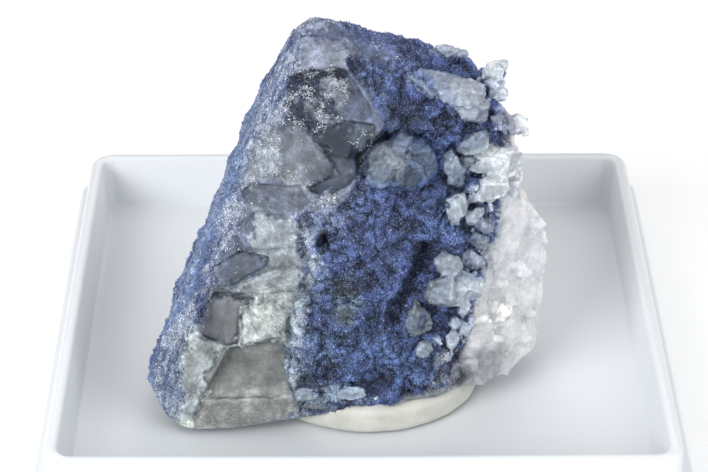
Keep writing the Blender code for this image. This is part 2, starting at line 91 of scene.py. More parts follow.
def selectOnly(obj):
    clearSelection()
    obj.select_set(True)
    bpy.context.view_layer.objects.active = obj


def settle(obj, name, material):
    # the piece's place goes into its mesh, and its object to the origin
    selectOnly(obj)
    bpy.ops.object.transform_apply(location=True, rotation=True, scale=True)
    obj.name = name
    obj.data.name = name
    obj.data.materials.clear()
    obj.data.materials.append(material)
    return obj


def keep(obj, slot, *nodes):
    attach(obj, "root")
    for node in nodes:
        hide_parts(node)


def addNode(tree, kind, inputs=None, stops=(), **settings):
    # a node with its settings, its links or values, and a ramp's stops as place and grey level or colour
    node = tree.nodes.new(kind)
    for name, value in settings.items():
        setattr(node, name, value)
    for name, value in (inputs or {}).items():
        if isinstance(value, bpy.types.NodeSocket):
            tree.links.new(value, node.inputs[name])
        else:
            node.inputs[name].default_value = value
    for n, (place, tone) in enumerate(stops):
        elements = node.color_ramp.elements
        element = elements[n] if n < len(elements) else elements.new(place)
        element.position = place
        element.color = (*linear(tone), 1) if isinstance(tone, str) else (tone, tone, tone, 1)
    return node


def newMaterial(name, inputs):
    material = bpy.data.materials.new(name)
    material.use_nodes = True
    tree = material.node_tree
    shader = tree.nodes["Principled BSDF"]
    for key, value in inputs.items():
        shader.inputs[key].default_value = (*linear(value), 1) if isinstance(value, str) else value
    return material, tree, shader


# Camera, floor and light.

studio = {
    "floorSize": 3.0,
    "floorColour": "#FCFCFC",
    "worldStrength": 0.74,
    "aim": (0, 0, 0.012),              # metres, as the places and sizes of the lights
    "keyPlace": (-0.24, -0.30, 0.20),
    "keySize": 0.22,
    "keyPower": 1.25,
    "fillPlace": (0.32, -0.26, 0.24),
    "fillSize": 0.40,
    "fillPower": 0.75,
    "backPlace": (0.05, 0.45, 0.40),
    "backSize": 0.50,
    "backPower": 0.50,
}


def buildCamera():
    data = bpy.data.cameras.new("photoCamera")
    data.sensor_width = 36
    data.lens = photoView["focal"] * data.sensor_width / photoView["width"]
    data.clip_start = 0.01
    camera = bpy.data.objects.new("photoCamera", data)
    bpy.context.scene.collection.objects.link(camera)
    camera.location = Vector(photoView["eye"]) * mm
    camera.rotation_euler = (math.radians(90 - photoView["pitch"]), 0, -math.radians(photoView["yaw"]))
    bpy.context.scene.camera = camera


def softbox(name, place, size, power):
    data = bpy.data.lights.new(name, "AREA")
    data.size = size
    data.energy = power
    light = bpy.data.objects.new(name, data)
    bpy.context.scene.collection.objects.link(light)
    light.location = place
    aim = Vector(studio["aim"]) - Vector(place)
    light.rotation_euler = aim.to_track_quat("-Z", "Y").to_euler()


def buildStudio():
    clearSelection()
    bpy.ops.mesh.primitive_plane_add(size=studio["floorSize"])
    floor = bpy.context.object
    material = newMaterial("paleFloor", {"Base Color": studio["floorColour"], "Roughness": 0.9})[0]
    settle(floor, "floor", material)
    world = bpy.data.worlds.new("studioWorld")
    bpy.context.scene.world = world
    world.use_nodes = True
    world.node_tree.nodes["Background"].inputs["Color"].default_value = (1, 1, 1, 1)
    world.node_tree.nodes["Background"].inputs["Strength"].default_value = studio["worldStrength"]
    softbox("keyLight", studio["keyPlace"], studio["keySize"], studio["keyPower"])
    softbox("fillLight", studio["fillPlace"], studio["fillSize"], studio["fillPower"])
    softbox("backLight", studio["backPlace"], studio["backSize"], studio["backPower"])
    bpy.context.scene.view_settings.view_transform = "Standard"


buildCamera()
buildStudio()
print("camera and studio ready")


# Rock: one skin over the solid. The finish of each part is held as colours and shares on its points.

rockSettings = {
    "voxel": 0.18,           # mm, the skin's grain
    "shadeUnderFelt": 0.66,       # painted shade: the crust below the needles is darkened, as the gaps between them lie in shade
    "feltLump": 0.42,        # mm
    "feltValley": 0.32,
    "druseLump": 0.05,
    "druseStart": 12.2,      # mm to the right of the middle, on the back too
    "lumpCount": 2200,
    "lumpRadius": (0.26, 0.62),
    "lumpRise": 0.30,        # of its radius
    "lumpSink": 0.30,
    "druseInset": 0.15,      # mm, room for the crystals
    "wornBack": 0.85,        # of what stands past the quartz end's outline
    "wornFrom": 500,         # photograph pixels, right of this
    "wornDownTo": 372,       # and above this
    "breakLump": 0.05,
    "breakLedge": 0.12,
    "crestAt": (386, 62),    # photograph pixels, where the felt swells at the top
    "crestRise": 0.42,       # mm
    "pixelsPerMm": 10.8,     # of the photograph, at the rock
    "wander": (4.0, 2.0),    # photograph pixels, in the edges between finishes
    "edgeWander": (9, 6),    # and in those between patches of the break
    "fringeFrom": 205,       # photograph pixel below which the felt has its pale fringe
    "rimSlope": (-0.36, -0.25, -0.90),   # the way the left rim runs down
    "smoothTurns": 70,       # turns of smoothing that find the felt's hollows
    "hollowShade": 3.0,
    "edgeTurns": 5,          # and those that find the break's edges
    "edgeLight": 0.35,
    "mottle": 0.45,
    "underMilky": 0.15,      # mm, how far the skin gives way under a crystal
    "underClear": 0.5,
    "keptFaces": 0.69,       # of its triangles, once all that grows on it stands
    "feltTone": "#4A5A86",
    "feltPale": "#6578AE",
    "feltDark": "#2A3660",
    "backTone": "#5A6C98",
    "bareTone": "#868C92",
    "stripBlue": "#35497C",
    "stripFrost": "#A3AFC6",
    "flankTone": "#5C749E",
    "fringeTone": "#BAC4D2",
    "druseTone": "#DFDFE4",
    "clearBed": "#4E5A6C",   # the dark floor below a clear crystal
    "crushedGrain": 0.26,    # mm, sugary grain of crushed quartz
    "veinSize": 1.6,         # mm
    "streaksPerMm": (0.9, 7.0, 7.0),   # along, across and from patch to patch
    "blocksPerMm": (1.3, 2.2, 7.0),
    "druseFace": 0.40,       # mm, faces of the quartz end
}

# The outlines below are photograph pixels, read round each patch.
breakOutline = [
    (296, 18), (320, 15), (345, 28), (362, 38), (386, 45), (402, 58), (385, 65), (364, 55), (346, 60),
    (352, 72), (366, 84), (373, 100), (381, 116), (387, 134), (374, 142), (362, 158), (357, 180),
    (350, 197), (334, 209), (312, 213), (292, 217), (299, 229), (297, 246), (303, 262), (300, 286),
    (293, 310), (288, 335), (284, 352), (288, 372), (292, 396), (300, 414), (240, 434), (180, 445),
    (130, 420), (130, 380), (150, 320), (190, 235), (220, 175), (235, 100), (270, 40),
]
stripOutline = [
    (298, 34), (299, 60), (292, 78), (287, 96), (283, 122), (262, 130), (251, 148), (244, 172),
    (241, 200), (238, 234), (226, 248), (216, 262), (212, 284), (206, 304), (199, 322), (186, 332),
    (181, 348), (180, 380), (184, 398), (172, 424), (140, 430), (120, 380), (150, 310), (190, 225),
    (220, 165), (235, 100), (275, 35),
]
druseOutline = [
    (456, 402), (450, 388), (460, 362), (464, 350), (468, 334), (472, 324), (472, 310), (478, 294),
    (484, 278), (484, 258), (488, 248), (496, 230), (498, 216), (500, 200), (505, 180), (505, 152),
    (509, 142), (508, 116), (540, 110), (570, 230), (560, 380), (480, 410),
]
druseEdge = [
    (400, 60), (540, 60), (536, 112), (530, 134), (519, 146), (519, 164), (517, 180), (520, 196),
    (529, 204), (538, 214), (546, 224), (545, 238), (551, 246), (546, 262), (542, 284), (540, 304),
    (534, 318), (542, 332), (541, 349), (524, 352), (512, 368), (497, 379), (470, 392), (440, 402),
    (400, 420),
]
bareStripOutline = [
    (392, 406), (404, 398), (440, 389), (458, 384), (468, 378), (474, 390), (444, 405), (410, 414),
]
flankOutline = [
    (275, 35), (266, 68), (260, 98), (251, 128), (243, 160), (230, 196), (216, 236), (202, 268),
    (190, 300), (174, 326), (158, 350), (151, 384), (140, 384), (145, 310), (185, 225), (215, 165),
    (232, 100),
]

# Patches of the break: outline, tone, share of sparkling grains, share of smooth glassy face, how far it
# stands out (mm) and the lean of its streaks in the picture (degrees).
breakPatches = {
    "bandAbove": ([(298, 30), (345, 30), (395, 58), (372, 60), (340, 38), (300, 38)],
                  "#5A677E", 0.1, 0.3, 0, 12),
    "apexFrost": ([(296, 22), (312, 16), (334, 20), (346, 28), (330, 31), (304, 32)],
                  "#858FA6", 0.8, 0.0, 0.1, 10),
    "darkBand": ([(300, 33), (318, 30), (345, 33), (362, 40), (378, 52), (394, 65), (380, 63),
                  (364, 50), (350, 43), (335, 37), (303, 38)],
                 "#545C79", 0.1, 0.3, -0.1, 24),
    "paleBand": ([(330, 28), (352, 31), (372, 38), (390, 50), (404, 62), (394, 64), (376, 50),
                  (358, 38), (340, 33)],
                 "#59688F", 0.5, 0.1, 0.1, 28),
    "topSlab": ([(294, 47), (300, 38), (338, 38), (354, 53), (344, 68), (311, 69), (293, 76)],
                "#747B8F", 0.3, 0.4, 0.2, -16),
    "topSlabPale": ([(300, 60), (330, 45), (352, 54), (343, 67), (311, 68), (298, 72)],
                    "#798193", 0.3, 0.4, 0, -16),
    "darkHollow": ([(288, 76), (311, 70), (344, 69), (352, 84), (330, 100), (336, 124), (312, 132),
                    (286, 118)],
                   "#2A324B", 0.9, 0.0, 0, 60),
    "sparkA": ([(322, 84), (338, 76), (352, 84), (350, 98), (338, 104), (324, 98)],
               "#767E89", 1.0, 0.0, 0.05, 100),
    "sparkB": ([(283, 94), (293, 90), (296, 102), (286, 106)], "#8795AB", 1.0, 0.0, 0.05, 40),
    "sparkC": ([(303, 102), (312, 104), (326, 110), (334, 118), (318, 120), (306, 116)],
               "#808994", 1.0, 0.0, 0.05, 20),
    "lavenderFlank": ([(350, 74), (370, 88), (382, 116), (384, 130), (352, 128), (346, 108)],
                      "#4E576D", 0.2, 0.2, 0, 62),
    "darkWindow": ([(314, 138), (328, 130), (346, 122), (362, 128), (352, 146), (346, 158), (330, 150)],
                   "#1F2735", 0.0, 1.0, 0.25, -20),
    "windowRight": ([(350, 132), (366, 128), (378, 134), (366, 146), (352, 144)],
                    "#495564", 0.6, 0.1, 0.05, 75),
    "windowLow": ([(318, 152), (338, 160), (352, 168), (346, 186), (326, 197), (308, 192), (322, 176)],
                  "#4A5364", 0.0, 0.8, 0, -38),
    "upperChunk": ([(278, 128), (302, 127), (314, 141), (330, 158), (336, 172), (310, 188), (286, 180),
                    (282, 150)],
                   "#575E6A", 0.3, 0.5, 0.25, 48),
    "upperChunkPale": ([(282, 138), (284, 176), (268, 172), (245, 183), (240, 168), (258, 143),
                        (272, 134)],
                       "#89929E", 0.7, 0.0, 0.12, 62),
    "chunkFoot": ([(278, 172), (296, 176), (312, 186), (306, 190), (286, 182)],
                  "#8B9199", 0.6, 0.0, 0.15, -20),
    "leftHollow": ([(245, 190), (268, 178), (286, 184), (308, 198), (296, 214), (276, 214), (252, 204)],
                   "#6C7485", 0.3, 0.2, -0.03, 30),
    "whitePatch": ([(312, 198), (332, 190), (350, 194), (342, 208), (320, 212)],
                   "#778194", 0.9, 0.0, 0.1, -18),
    "stripedSlab": ([(256, 210), (278, 215), (290, 226), (294, 245), (278, 256), (262, 257), (248, 236),
                     (246, 218)],
                    "#818A93", 0.3, 0.4, 0.2, 66),
    "stripedSlabLeft": ([(240, 212), (250, 212), (250, 240), (246, 248), (234, 240)],
                        "#565F75", 0.4, 0.1, 0.05, 75),
    # painted shadow: the shelf lies in the shadow of the slab that overhangs it
    "shelfInShadow": ([(214, 268), (240, 252), (266, 258), (264, 267), (240, 283), (212, 288)],
                  "#444E61", 0.2, 0.25, 0.4, -24),
    "lightBand": ([(222, 288), (243, 282), (262, 268), (290, 262), (304, 270), (300, 288), (270, 296),
                   (250, 292)],
                  "#747C82", 0.2, 0.3, 0.2, -20),
    "bandFoot": ([(250, 288), (290, 286), (284, 300), (262, 298)], "#909698", 0.4, 0.1, 0, -8),
    "leftPocket": ([(216, 291), (240, 294), (258, 300), (243, 312), (241, 340), (226, 345), (203, 335),
                    (196, 322), (208, 306)],
                   "#414750", 0.0, 0.9, 0.4, 84),
    "whiteChunk": ([(239, 340), (241, 347), (262, 342), (284, 335), (288, 312), (273, 303), (260, 298),
                    (250, 302), (241, 312)],
                   "#A4ABAA", 0.3, 0.1, 0.5, 40),
    "lowerLeftSlab": ([(186, 330), (206, 336), (228, 347), (207, 368), (205, 395), (193, 416),
                       (176, 420), (180, 370)],
                      "#8D9598", 0.2, 0.4, 0.4, 112),
    "lowerWindow": ([(228, 350), (246, 348), (277, 338), (288, 352), (291, 384), (240, 390), (206, 394),
                     (208, 368)],
                    "#6F7372", 0.05, 0.8, -0.03, -6),
    "lowerBand": ([(206, 392), (240, 388), (291, 384), (296, 410), (240, 428), (196, 434), (196, 414)],
                  "#838684", 0.2, 0.5, 0, -7),
    "tipFoot": ([(150, 400), (176, 418), (196, 414), (196, 440), (170, 440)],
                "#CED8CF", 0.3, 0.2, 0.05, -8),
}
# Patches of the felt: outline, tone, share of grains.
feltPatches = {
    "crestNavy": ([(330, 15), (432, 45), (412, 62), (384, 44), (352, 30)], "#46547E", 0.2),
    "crestRight": ([(404, 54), (480, 58), (484, 76), (440, 72), (404, 72)], "#424F7B", 0.2),
    "upperFelt": ([(400, 84), (440, 82), (446, 104), (420, 108), (396, 100)], "#576CA3", 0.3),
    # painted shade: the felt in the hollows under the long crystal
    "upperShade": ([(386, 90), (404, 96), (430, 112), (420, 134), (396, 132), (384, 112)],
                  "#354364", 0.1),
    "shadeUnderCrystal": ([(438, 106), (456, 112), (464, 124), (450, 130), (436, 122)], "#3D4C74", 0.1),
    "rightFelt": ([(424, 138), (456, 136), (460, 152), (432, 158)], "#6E86C2", 0.2),
    "midFelt": ([(424, 200), (446, 200), (458, 226), (440, 240), (424, 226)], "#566D9B", 0.2),
    "midDark": ([(366, 294), (402, 296), (398, 330), (376, 330), (360, 312)], "#475983", 0.2),
    "greenGrains": ([(332, 280), (352, 276), (362, 300), (352, 324), (334, 318)], "#556362", 0.9),
    "lowGrains": ([(432, 356), (446, 352), (446, 378), (432, 384)], "#FAFAFA", 0.8),
    "lowLeftFelt": ([(300, 330), (336, 330), (340, 372), (304, 376)], "#536785", 0.3),
    "lowMidFelt": ([(336, 330), (440, 330), (440, 380), (340, 384)], "#506693", 0.2),
    "fringeTop": ([(292, 246), (320, 250), (326, 276), (306, 292), (292, 284)], "#7D92B4", 0.6),
    "fringeMid": ([(284, 296), (300, 298), (296, 344), (284, 350)], "#CBEAFA", 0.6),
    "fringeLow": ([(280, 350), (298, 352), (304, 392), (290, 404)], "#8EA9C0", 0.4),
    "footPale": ([(296, 388), (330, 384), (366, 390), (364, 402), (300, 408)], "#B5C9E2", 0.4),
    "bottomStrip": ([(388, 405), (400, 398), (440, 388), (462, 384), (470, 392), (440, 403),
                     (410, 412)],
                    "#202B3C", 0.3),
    "slabSurround": ([(484, 104), (504, 102), (508, 146), (488, 150), (480, 124)], "#55659B", 0.4),
}
# Deep places, darkened with painted shade: outline, tone of the painted shade, depth in mm.
hollows = {
    "besideCrystal": ([(357, 178), (356, 152), (368, 143), (397, 131), (396, 138), (374, 152),
                       (368, 178)],
                      "#232C38", 0.7),
    "pit": ([(320, 236), (327, 232), (333, 234), (335, 241), (327, 246), (320, 243)], "#27324E", 0.4),
    "crevice": ([(424, 246), (430, 250), (425, 268), (415, 284), (406, 298), (401, 300), (408, 282),
                 (418, 264)],
                "#28335A", 0.25),
    "underPyramid": ([(398, 314), (404, 302), (409, 300), (406, 314), (402, 326)], "#222C46", 0.3),
}
# Patches of the quartz end: outline and tone.
drusePatches = {
    "druseTop": ([(506, 150), (520, 140), (526, 200), (500, 204)], "#B8BEBD"),
    "druseLeft": ([(486, 214), (502, 206), (512, 240), (506, 290), (490, 330), (476, 330), (482, 280)],
                  "#D4DADE"),
    "druseFoot": ([(505, 345), (545, 330), (540, 345), (515, 362), (500, 368)], "#DBDEDB"),
    "druseGrey": ([(482, 240), (500, 236), (502, 274), (486, 280)], "#C2C7CD"),
    "druseRight": ([(508, 200), (556, 220), (552, 300), (512, 300)], "#D8D9DE"),
    "druseLow": ([(484, 286), (552, 290), (548, 344), (478, 344)], "#DEDFE1"),
    "greyQuartz": ([(472, 350), (500, 342), (512, 356), (500, 380), (470, 394), (464, 372)], "#A1A5A9"),
    "darkQuartz": ([(452, 372), (464, 360), (470, 376), (464, 388), (450, 390)], "#101A2A"),
}

# Crystals that stand out of the crust: outline and apex in photograph pixels, how far the apex stands out
# (mm), the turn of its first face and the slope of its faces (degrees), number of faces, finish and tone.
crystals = {
    "crest": ([(430, 51), (436, 46), (450, 46), (460, 49), (468, 56), (446, 56)],
              (450, 50), 0.5, 80, 20, 2, "milky", "#8C97AD"),
    "upperLong": ([(402, 75), (416, 72), (440, 73), (456, 77), (481, 85), (481, 100), (468, 108),
                   (452, 104), (420, 91)],
                  (458, 88), 1.5, 75, 22, 2, "milky", "#748096"),
    "upperEnd": ([(464, 96), (481, 97), (487, 104), (486, 118), (478, 120), (466, 118), (456, 108)],
                 (476, 104), 1.6, 20, 28, 3, "milky", "#7C889C"),
    "tip": ([(483, 78), (484, 71), (490, 65), (498, 62), (506, 63), (506, 69), (500, 77), (494, 79)],
            (495, 69), 0.8, 60, 25, 3, "milky", "#BFCBD7"),
    "cornerA": ([(485, 84), (492, 79), (502, 81), (501, 88), (494, 92), (486, 90)],
                (494, 84), 0.7, 10, 28, 3, "milky", "#B2BFDD"),
    "cornerB": ([(490, 90), (501, 86), (507, 91), (505, 99), (498, 103), (489, 97)],
                (499, 93), 0.9, 40, 28, 3, "milky", "#AEB9CA"),
    "farTip": ([(508, 128), (510, 119), (518, 115), (526, 120), (526, 128), (518, 134), (510, 134)],
               (518, 122), 0.8, 15, 26, 3, "milky", "#CAD3E2"),
    "seedA": ([(494, 108), (500, 105), (503, 110), (498, 114)],
              (499, 108), 0.5, 30, 32, 3, "milky", "#8B9DC3"),
    "seedB": ([(492, 117), (498, 114), (502, 119), (499, 125), (494, 123)],
              (497, 118), 0.6, 0, 30, 3, "milky", "#6F778E"),
    "seedC": ([(500, 125), (505, 123), (507, 128), (502, 131)],
              (503, 126), 0.4, 70, 30, 3, "milky", "#ACBADB"),
    "shoulderBack": ([(486, 142), (500, 146), (516, 152), (520, 170), (516, 196), (500, 204),
                      (494, 190), (496, 172), (486, 160)],
                     (505, 166), 0.6, 100, 16, 3, "milky", "#C3CBD6"),
    "shoulderTop": ([(460, 150), (464, 140), (476, 134), (484, 130), (487, 139), (484, 150),
                     (470, 154)],
                    (476, 140), 1.2, 50, 30, 3, "milky", "#566478"),
    "shoulderMain": ([(458, 160), (468, 152), (488, 148), (510, 150), (519, 154), (519, 168),
                      (508, 176), (480, 171), (464, 169)],
                     (490, 158), 1.5, 85, 24, 2, "milky", "#99A5B1"),
    "shoulderLeft": ([(445, 155), (452, 151), (457, 158), (466, 176), (465, 184), (456, 187),
                      (449, 182), (446, 170)],
                     (454, 162), 1.2, 150, 34, 2, "clear", "#7D8CA3"),
    "shoulderLow": ([(464, 189), (478, 184), (492, 174), (504, 176), (507, 186), (502, 196), (482, 201),
                     (466, 200)],
                    (488, 184), 1.4, 60, 26, 3, "milky", "#AEB9C7"),
    "smallRound": ([(444, 203), (446, 200), (450, 201), (451, 206), (448, 208), (445, 207)],
                   (447, 203), 0.7, 0, 30, 3, "clear", "#334764"),
    "whiteBlock": ([(447, 201), (454, 194), (462, 195), (466, 204), (464, 214), (458, 222), (453, 223),
                    (448, 212)],
                   (458, 200), 1.3, 110, 30, 3, "milky", "#8E9CAC"),
    "chipA": ([(465, 212), (476, 212), (483, 208), (482, 218), (476, 224), (468, 222)],
              (475, 215), 0.9, 20, 30, 3, "milky", "#8D9AAD"),
    "chipB": ([(478, 222), (488, 220), (492, 228), (486, 233), (478, 229)],
              (485, 224), 0.8, 60, 32, 3, "milky", "#6C778D"),
    "chipC": ([(467, 243), (474, 230), (480, 233), (488, 238), (488, 244), (480, 248)],
              (477, 237), 0.9, 10, 30, 3, "clear", "#6F7C91"),
    "chipD": ([(487, 203), (492, 204), (494, 211), (488, 212)],
              (490, 206), 0.5, 30, 30, 3, "milky", "#CADDFA"),
    "middleBack": ([(430, 292), (444, 276), (462, 272), (480, 280), (478, 294), (462, 304), (440, 304)],
                   (458, 288), 0.7, 40, 16, 3, "milky", "#7785A1"),
    "middleUpper": ([(436, 260), (443, 254), (452, 255), (458, 260), (461, 268), (452, 279), (444, 274),
                     (438, 267)],
                    (449, 262), 1.3, 95, 30, 3, "milky", "#7D899B"),
    "middleGrey": ([(460, 257), (468, 248), (475, 256), (484, 262), (484, 268), (474, 271), (462, 266)],
                   (471, 257), 0.8, 30, 28, 3, "clear", "#95A3BC"),
    "middleBlue": ([(467, 277), (476, 271), (481, 277), (476, 281)],
                   (474, 275), 0.5, 30, 30, 3, "milky", "#98AAC8"),
    "middleLeft": ([(426, 296), (430, 284), (440, 279), (452, 279), (452, 296), (448, 305), (440, 304),
                    (431, 302)],
                   (441, 288), 1.2, 120, 28, 3, "milky", "#6B757F"),
    "middleRight": ([(450, 280), (460, 278), (478, 281), (485, 284), (478, 292), (468, 298), (458, 305),
                     (451, 303)],
                    (462, 286), 1.6, 40, 27, 3, "milky", "#B9C6CE"),
    "rod": ([(458, 310), (462, 303), (468, 301), (471, 305), (464, 314), (460, 314)],
            (465, 306), 0.8, 130, 30, 2, "milky", "#B0BDD2"),
    "grainA": ([(451, 318), (456, 316), (460, 322), (456, 328), (451, 326)],
               (455, 321), 0.7, 0, 30, 3, "milky", "#8F9EB8"),
    "grainB": ([(460, 319), (466, 321), (470, 327), (468, 337), (461, 333)],
               (465, 326), 0.7, 40, 28, 3, "milky", "#A5B4C9"),
    "grainC": ([(446, 336), (454, 330), (460, 335), (457, 344), (452, 354), (447, 346)],
               (453, 338), 0.9, 100, 28, 3, "milky", "#97A4B7"),
    "grainD": ([(432, 340), (438, 336), (443, 344), (439, 347)],
               (438, 341), 0.5, 60, 30, 2, "milky", "#AFC2E0"),
    "cube": ([(417, 349), (421, 344), (428, 344), (431, 349), (428, 355), (422, 357), (418, 354)],
             (424, 350), 0.9, 30, 38, 3, "milky", "#7E8C9F"),
    "pyramid": ([(406, 330), (410, 312), (415, 301), (420, 303), (425, 310), (432, 322), (431, 329),
                 (416, 336), (409, 336)],
                (419, 313), 1.7, 60, 40, 3, "clear", "#707F89"),
    "cavityLeft": ([(368, 168), (370, 156), (380, 147), (394, 143), (404, 150), (406, 166), (398, 178),
                    (384, 183), (372, 180)],
                   (387, 157), 1.5, 35, 34, 3, "clear", "#2D3A4A"),
    "cavityTop": ([(388, 148), (394, 138), (404, 134), (414, 138), (416, 152), (404, 162), (392, 158)],
                  (402, 143), 1.7, 100, 34, 3, "clear", "#243550"),
    "cavityRight": ([(400, 150), (410, 140), (422, 140), (432, 150), (438, 164), (434, 176), (420, 182),
                     (406, 176), (398, 164)],
                    (415, 153), 1.7, 75, 34, 3, "clear", "#364E7E"),
    "cavityDark": ([(394, 186), (398, 170), (408, 160), (422, 166), (426, 182), (414, 189)],
                   (408, 168), 1.8, 60, 36, 3, "clear", "#2E4577"),
    "cavityFoot": ([(366, 182), (372, 172), (386, 173), (392, 183), (380, 189)],
                   (378, 178), 1.0, 40, 30, 3, "clear", "#6E83AB"),
    "footBar": ([(337, 393), (346, 387), (362, 389), (365, 395), (352, 399), (339, 398)],
                (350, 392), 0.5, 85, 24, 2, "milky", "#96A9C0"),
    "footPatch": ([(296, 392), (304, 388), (316, 390), (317, 398), (306, 401), (298, 399)],
                  (306, 394), 0.4, 20, 24, 3, "milky", "#7E8D9A"),
    "footChip": ([(371, 397), (376, 393), (380, 397), (376, 401)],
                 (376, 397), 0.4, 20, 26, 3, "milky", "#BCD6ED"),
    "whiteRod": ([(486, 320), (492, 311), (500, 305), (511, 305), (512, 311), (502, 318), (490, 322)],
                 (499, 311), 0.5, 155, 26, 2, "milky", "#F2F5F7"),
}

# Tones within the larger crystals: outline and tone.
crystalTones = {
    "cavityBlueTop": ([(392, 142), (398, 136), (410, 137), (412, 148), (402, 155), (394, 152)],
                      "#5D6E88"),
    "cavityLeft": ([(368, 168), (372, 154), (384, 146), (396, 150), (400, 164), (392, 178), (374, 180)],
                   "#5B697C"),
    "cavityStreakA": ([(404, 152), (410, 158), (404, 172), (398, 184), (396, 178), (400, 164)],
                      "#6E7A86"),
    "cavityStreakB": ([(410, 147), (414, 156), (412, 164), (407, 156)], "#95AEC3"),
    "cavityGlow": ([(384, 152), (394, 148), (401, 158), (398, 170), (388, 166)], "#707C8C"),
    "cavityRight": ([(410, 146), (424, 142), (436, 158), (436, 170), (426, 180), (412, 170)],
                    "#516383"),
    "cavityDark": ([(397, 186), (402, 172), (408, 165), (420, 172), (424, 180), (412, 188)], "#2C3E59"),
    "longBlueEnd": ([(400, 72), (424, 70), (436, 80), (430, 96), (414, 90)], "#596B93"),
    "longRight": ([(450, 78), (484, 84), (484, 108), (466, 104), (452, 92)], "#8690A1"),
    "shoulderBlueTop": ([(460, 146), (474, 132), (486, 130), (484, 142)], "#5F6D82"),
    "lowBlueTip": ([(426, 296), (430, 284), (438, 288), (436, 304)], "#677584"),
}


def pixelsInside(px, py, outline):
    # how far inside an outline each pixel is, less than nothing outside it
    inside = np.zeros(len(px), bool)
    nearest = np.full(len(px), 1e9)
    for (x0, y0), (x1, y1) in zip(outline, outline[1:] + outline[:1]):
        crosses = (y0 > py) != (y1 > py)
        across = x0 + (py - y0) * (x1 - x0) / (y1 - y0 if y1 != y0 else 1e-9)
        inside ^= crosses & (px < across)
        square = (x1 - x0) ** 2 + (y1 - y0) ** 2
        along = np.clip(((px - x0) * (x1 - x0) + (py - y0) * (y1 - y0)) / square, 0, 1)
        nearest = np.minimum(nearest, np.hypot(px - x0 - along * (x1 - x0), py - y0 - along * (y1 - y0)))
    return np.where(inside, nearest, -nearest)


def shareInside(px, py, outline, edge=2.0):
    # 1 well inside an outline, 0 well outside, and a soft edge of so many pixels between
    return np.clip(0.5 + pixelsInside(px, py, outline) / (2 * edge), 0, 1)


def noiseOf(points, size, shift=0.0):
    # smooth noise from about -1 to 1 with lumps of a size in mm
    scaled = points / (size * mm) + shift
    return np.array([noise.noise(Vector(p)) for p in scaled.tolist()])


def meshArrays(mesh):
    points = np.empty(len(mesh.vertices) * 3)
    mesh.vertices.foreach_get("co", points)
    normals = np.empty(len(mesh.vertices) * 3)
    mesh.vertex_normals.foreach_get("vector", normals)
    return points.reshape(-1, 3), normals.reshape(-1, 3)


def copyOfNode(node, name):
    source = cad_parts[node]
    obj = bpy.data.objects.new(name, source.data.copy())
    bpy.context.scene.collection.objects.link(obj)
    selectOnly(obj)
    bpy.ops.object.mode_set(mode="EDIT")
    bpy.ops.mesh.select_all(action="SELECT")
    bpy.ops.mesh.remove_doubles(threshold=0.000005)
    bpy.ops.mesh.normals_make_consistent(inside=False)
    bpy.ops.object.mode_set(mode="OBJECT")
    return obj


def skinTriangles(skin):
    mesh = skin.data
    mesh.calc_loop_triangles()
    corners = np.empty(len(mesh.loop_triangles) * 3, np.int32)
    mesh.loop_triangles.foreach_get("vertices", corners)
    return corners.reshape(-1, 3)


def treeOf(obj):
    mesh = obj.data
    return BVHTree.FromPolygons([v.co for v in mesh.vertices], [p.vertices for p in mesh.polygons])


def scatterOn(points, corners, weight, count, chance):
    # roots spread over the skin by the weight of its points: the place, face normal and one corner of each
    a, b, c = (points[corners[:, i]] for i in range(3))
    cross = np.cross(b - a, c - a)
    area = np.linalg.norm(cross, axis=1)
    share = area * weight[corners].mean(1)
    picked = chance.choice(len(corners), count, p=share / share.sum())
    u, v = chance.random(count), chance.random(count)
    over = u + v > 1
    u[over], v[over] = 1 - u[over], 1 - v[over]
    place = a[picked] + (b - a)[picked] * u[:, None] + (c - a)[picked] * v[:, None]
    normal = cross[picked] / np.maximum(area[picked], 1e-20)[:, None]
    return place, normal, corners[picked, 0]


def unit(vectors):
    return vectors / np.maximum(np.linalg.norm(vectors, axis=1), 1e-12)[:, None]


def meshFromArrays(name, points, faces):
    mesh = bpy.data.meshes.new(name)
    sides = faces.shape[1]
    mesh.vertices.add(len(points))
    mesh.vertices.foreach_set("co", points.astype(np.float32).ravel())
    mesh.loops.add(faces.size)
    mesh.loops.foreach_set("vertex_index", faces.astype(np.int32).ravel())
    mesh.polygons.add(len(faces))
    mesh.polygons.foreach_set("loop_start", np.arange(0, faces.size, sides, dtype=np.int32))
    mesh.update(calc_edges=True)
    obj = bpy.data.objects.new(name, mesh)
    bpy.context.scene.collection.objects.link(obj)
    return obj


def spires(place, direction, length, halfWidth):
    # a tetrahedron for each: three root corners and a tip
    count = len(place)
    side = unit(np.cross(direction, np.array([0.31, 0.52, 0.79])))
    other = np.cross(direction, side)
    points = np.empty((count, 4, 3))
    for n in range(3):
        angle = 2 * math.pi * n / 3
        points[:, n] = place + (side * math.cos(angle) + other * math.sin(angle)) * halfWidth[:, None]
    points[:, 3] = place + direction * length[:, None]
    base = np.arange(count)[:, None] * 4
    faces = np.concatenate([base + np.array([[0, 1, 3]]), base + np.array([[1, 2, 3]]),
                            base + np.array([[2, 0, 3]]), base + np.array([[0, 2, 1]])])
    return points.reshape(-1, 3), faces


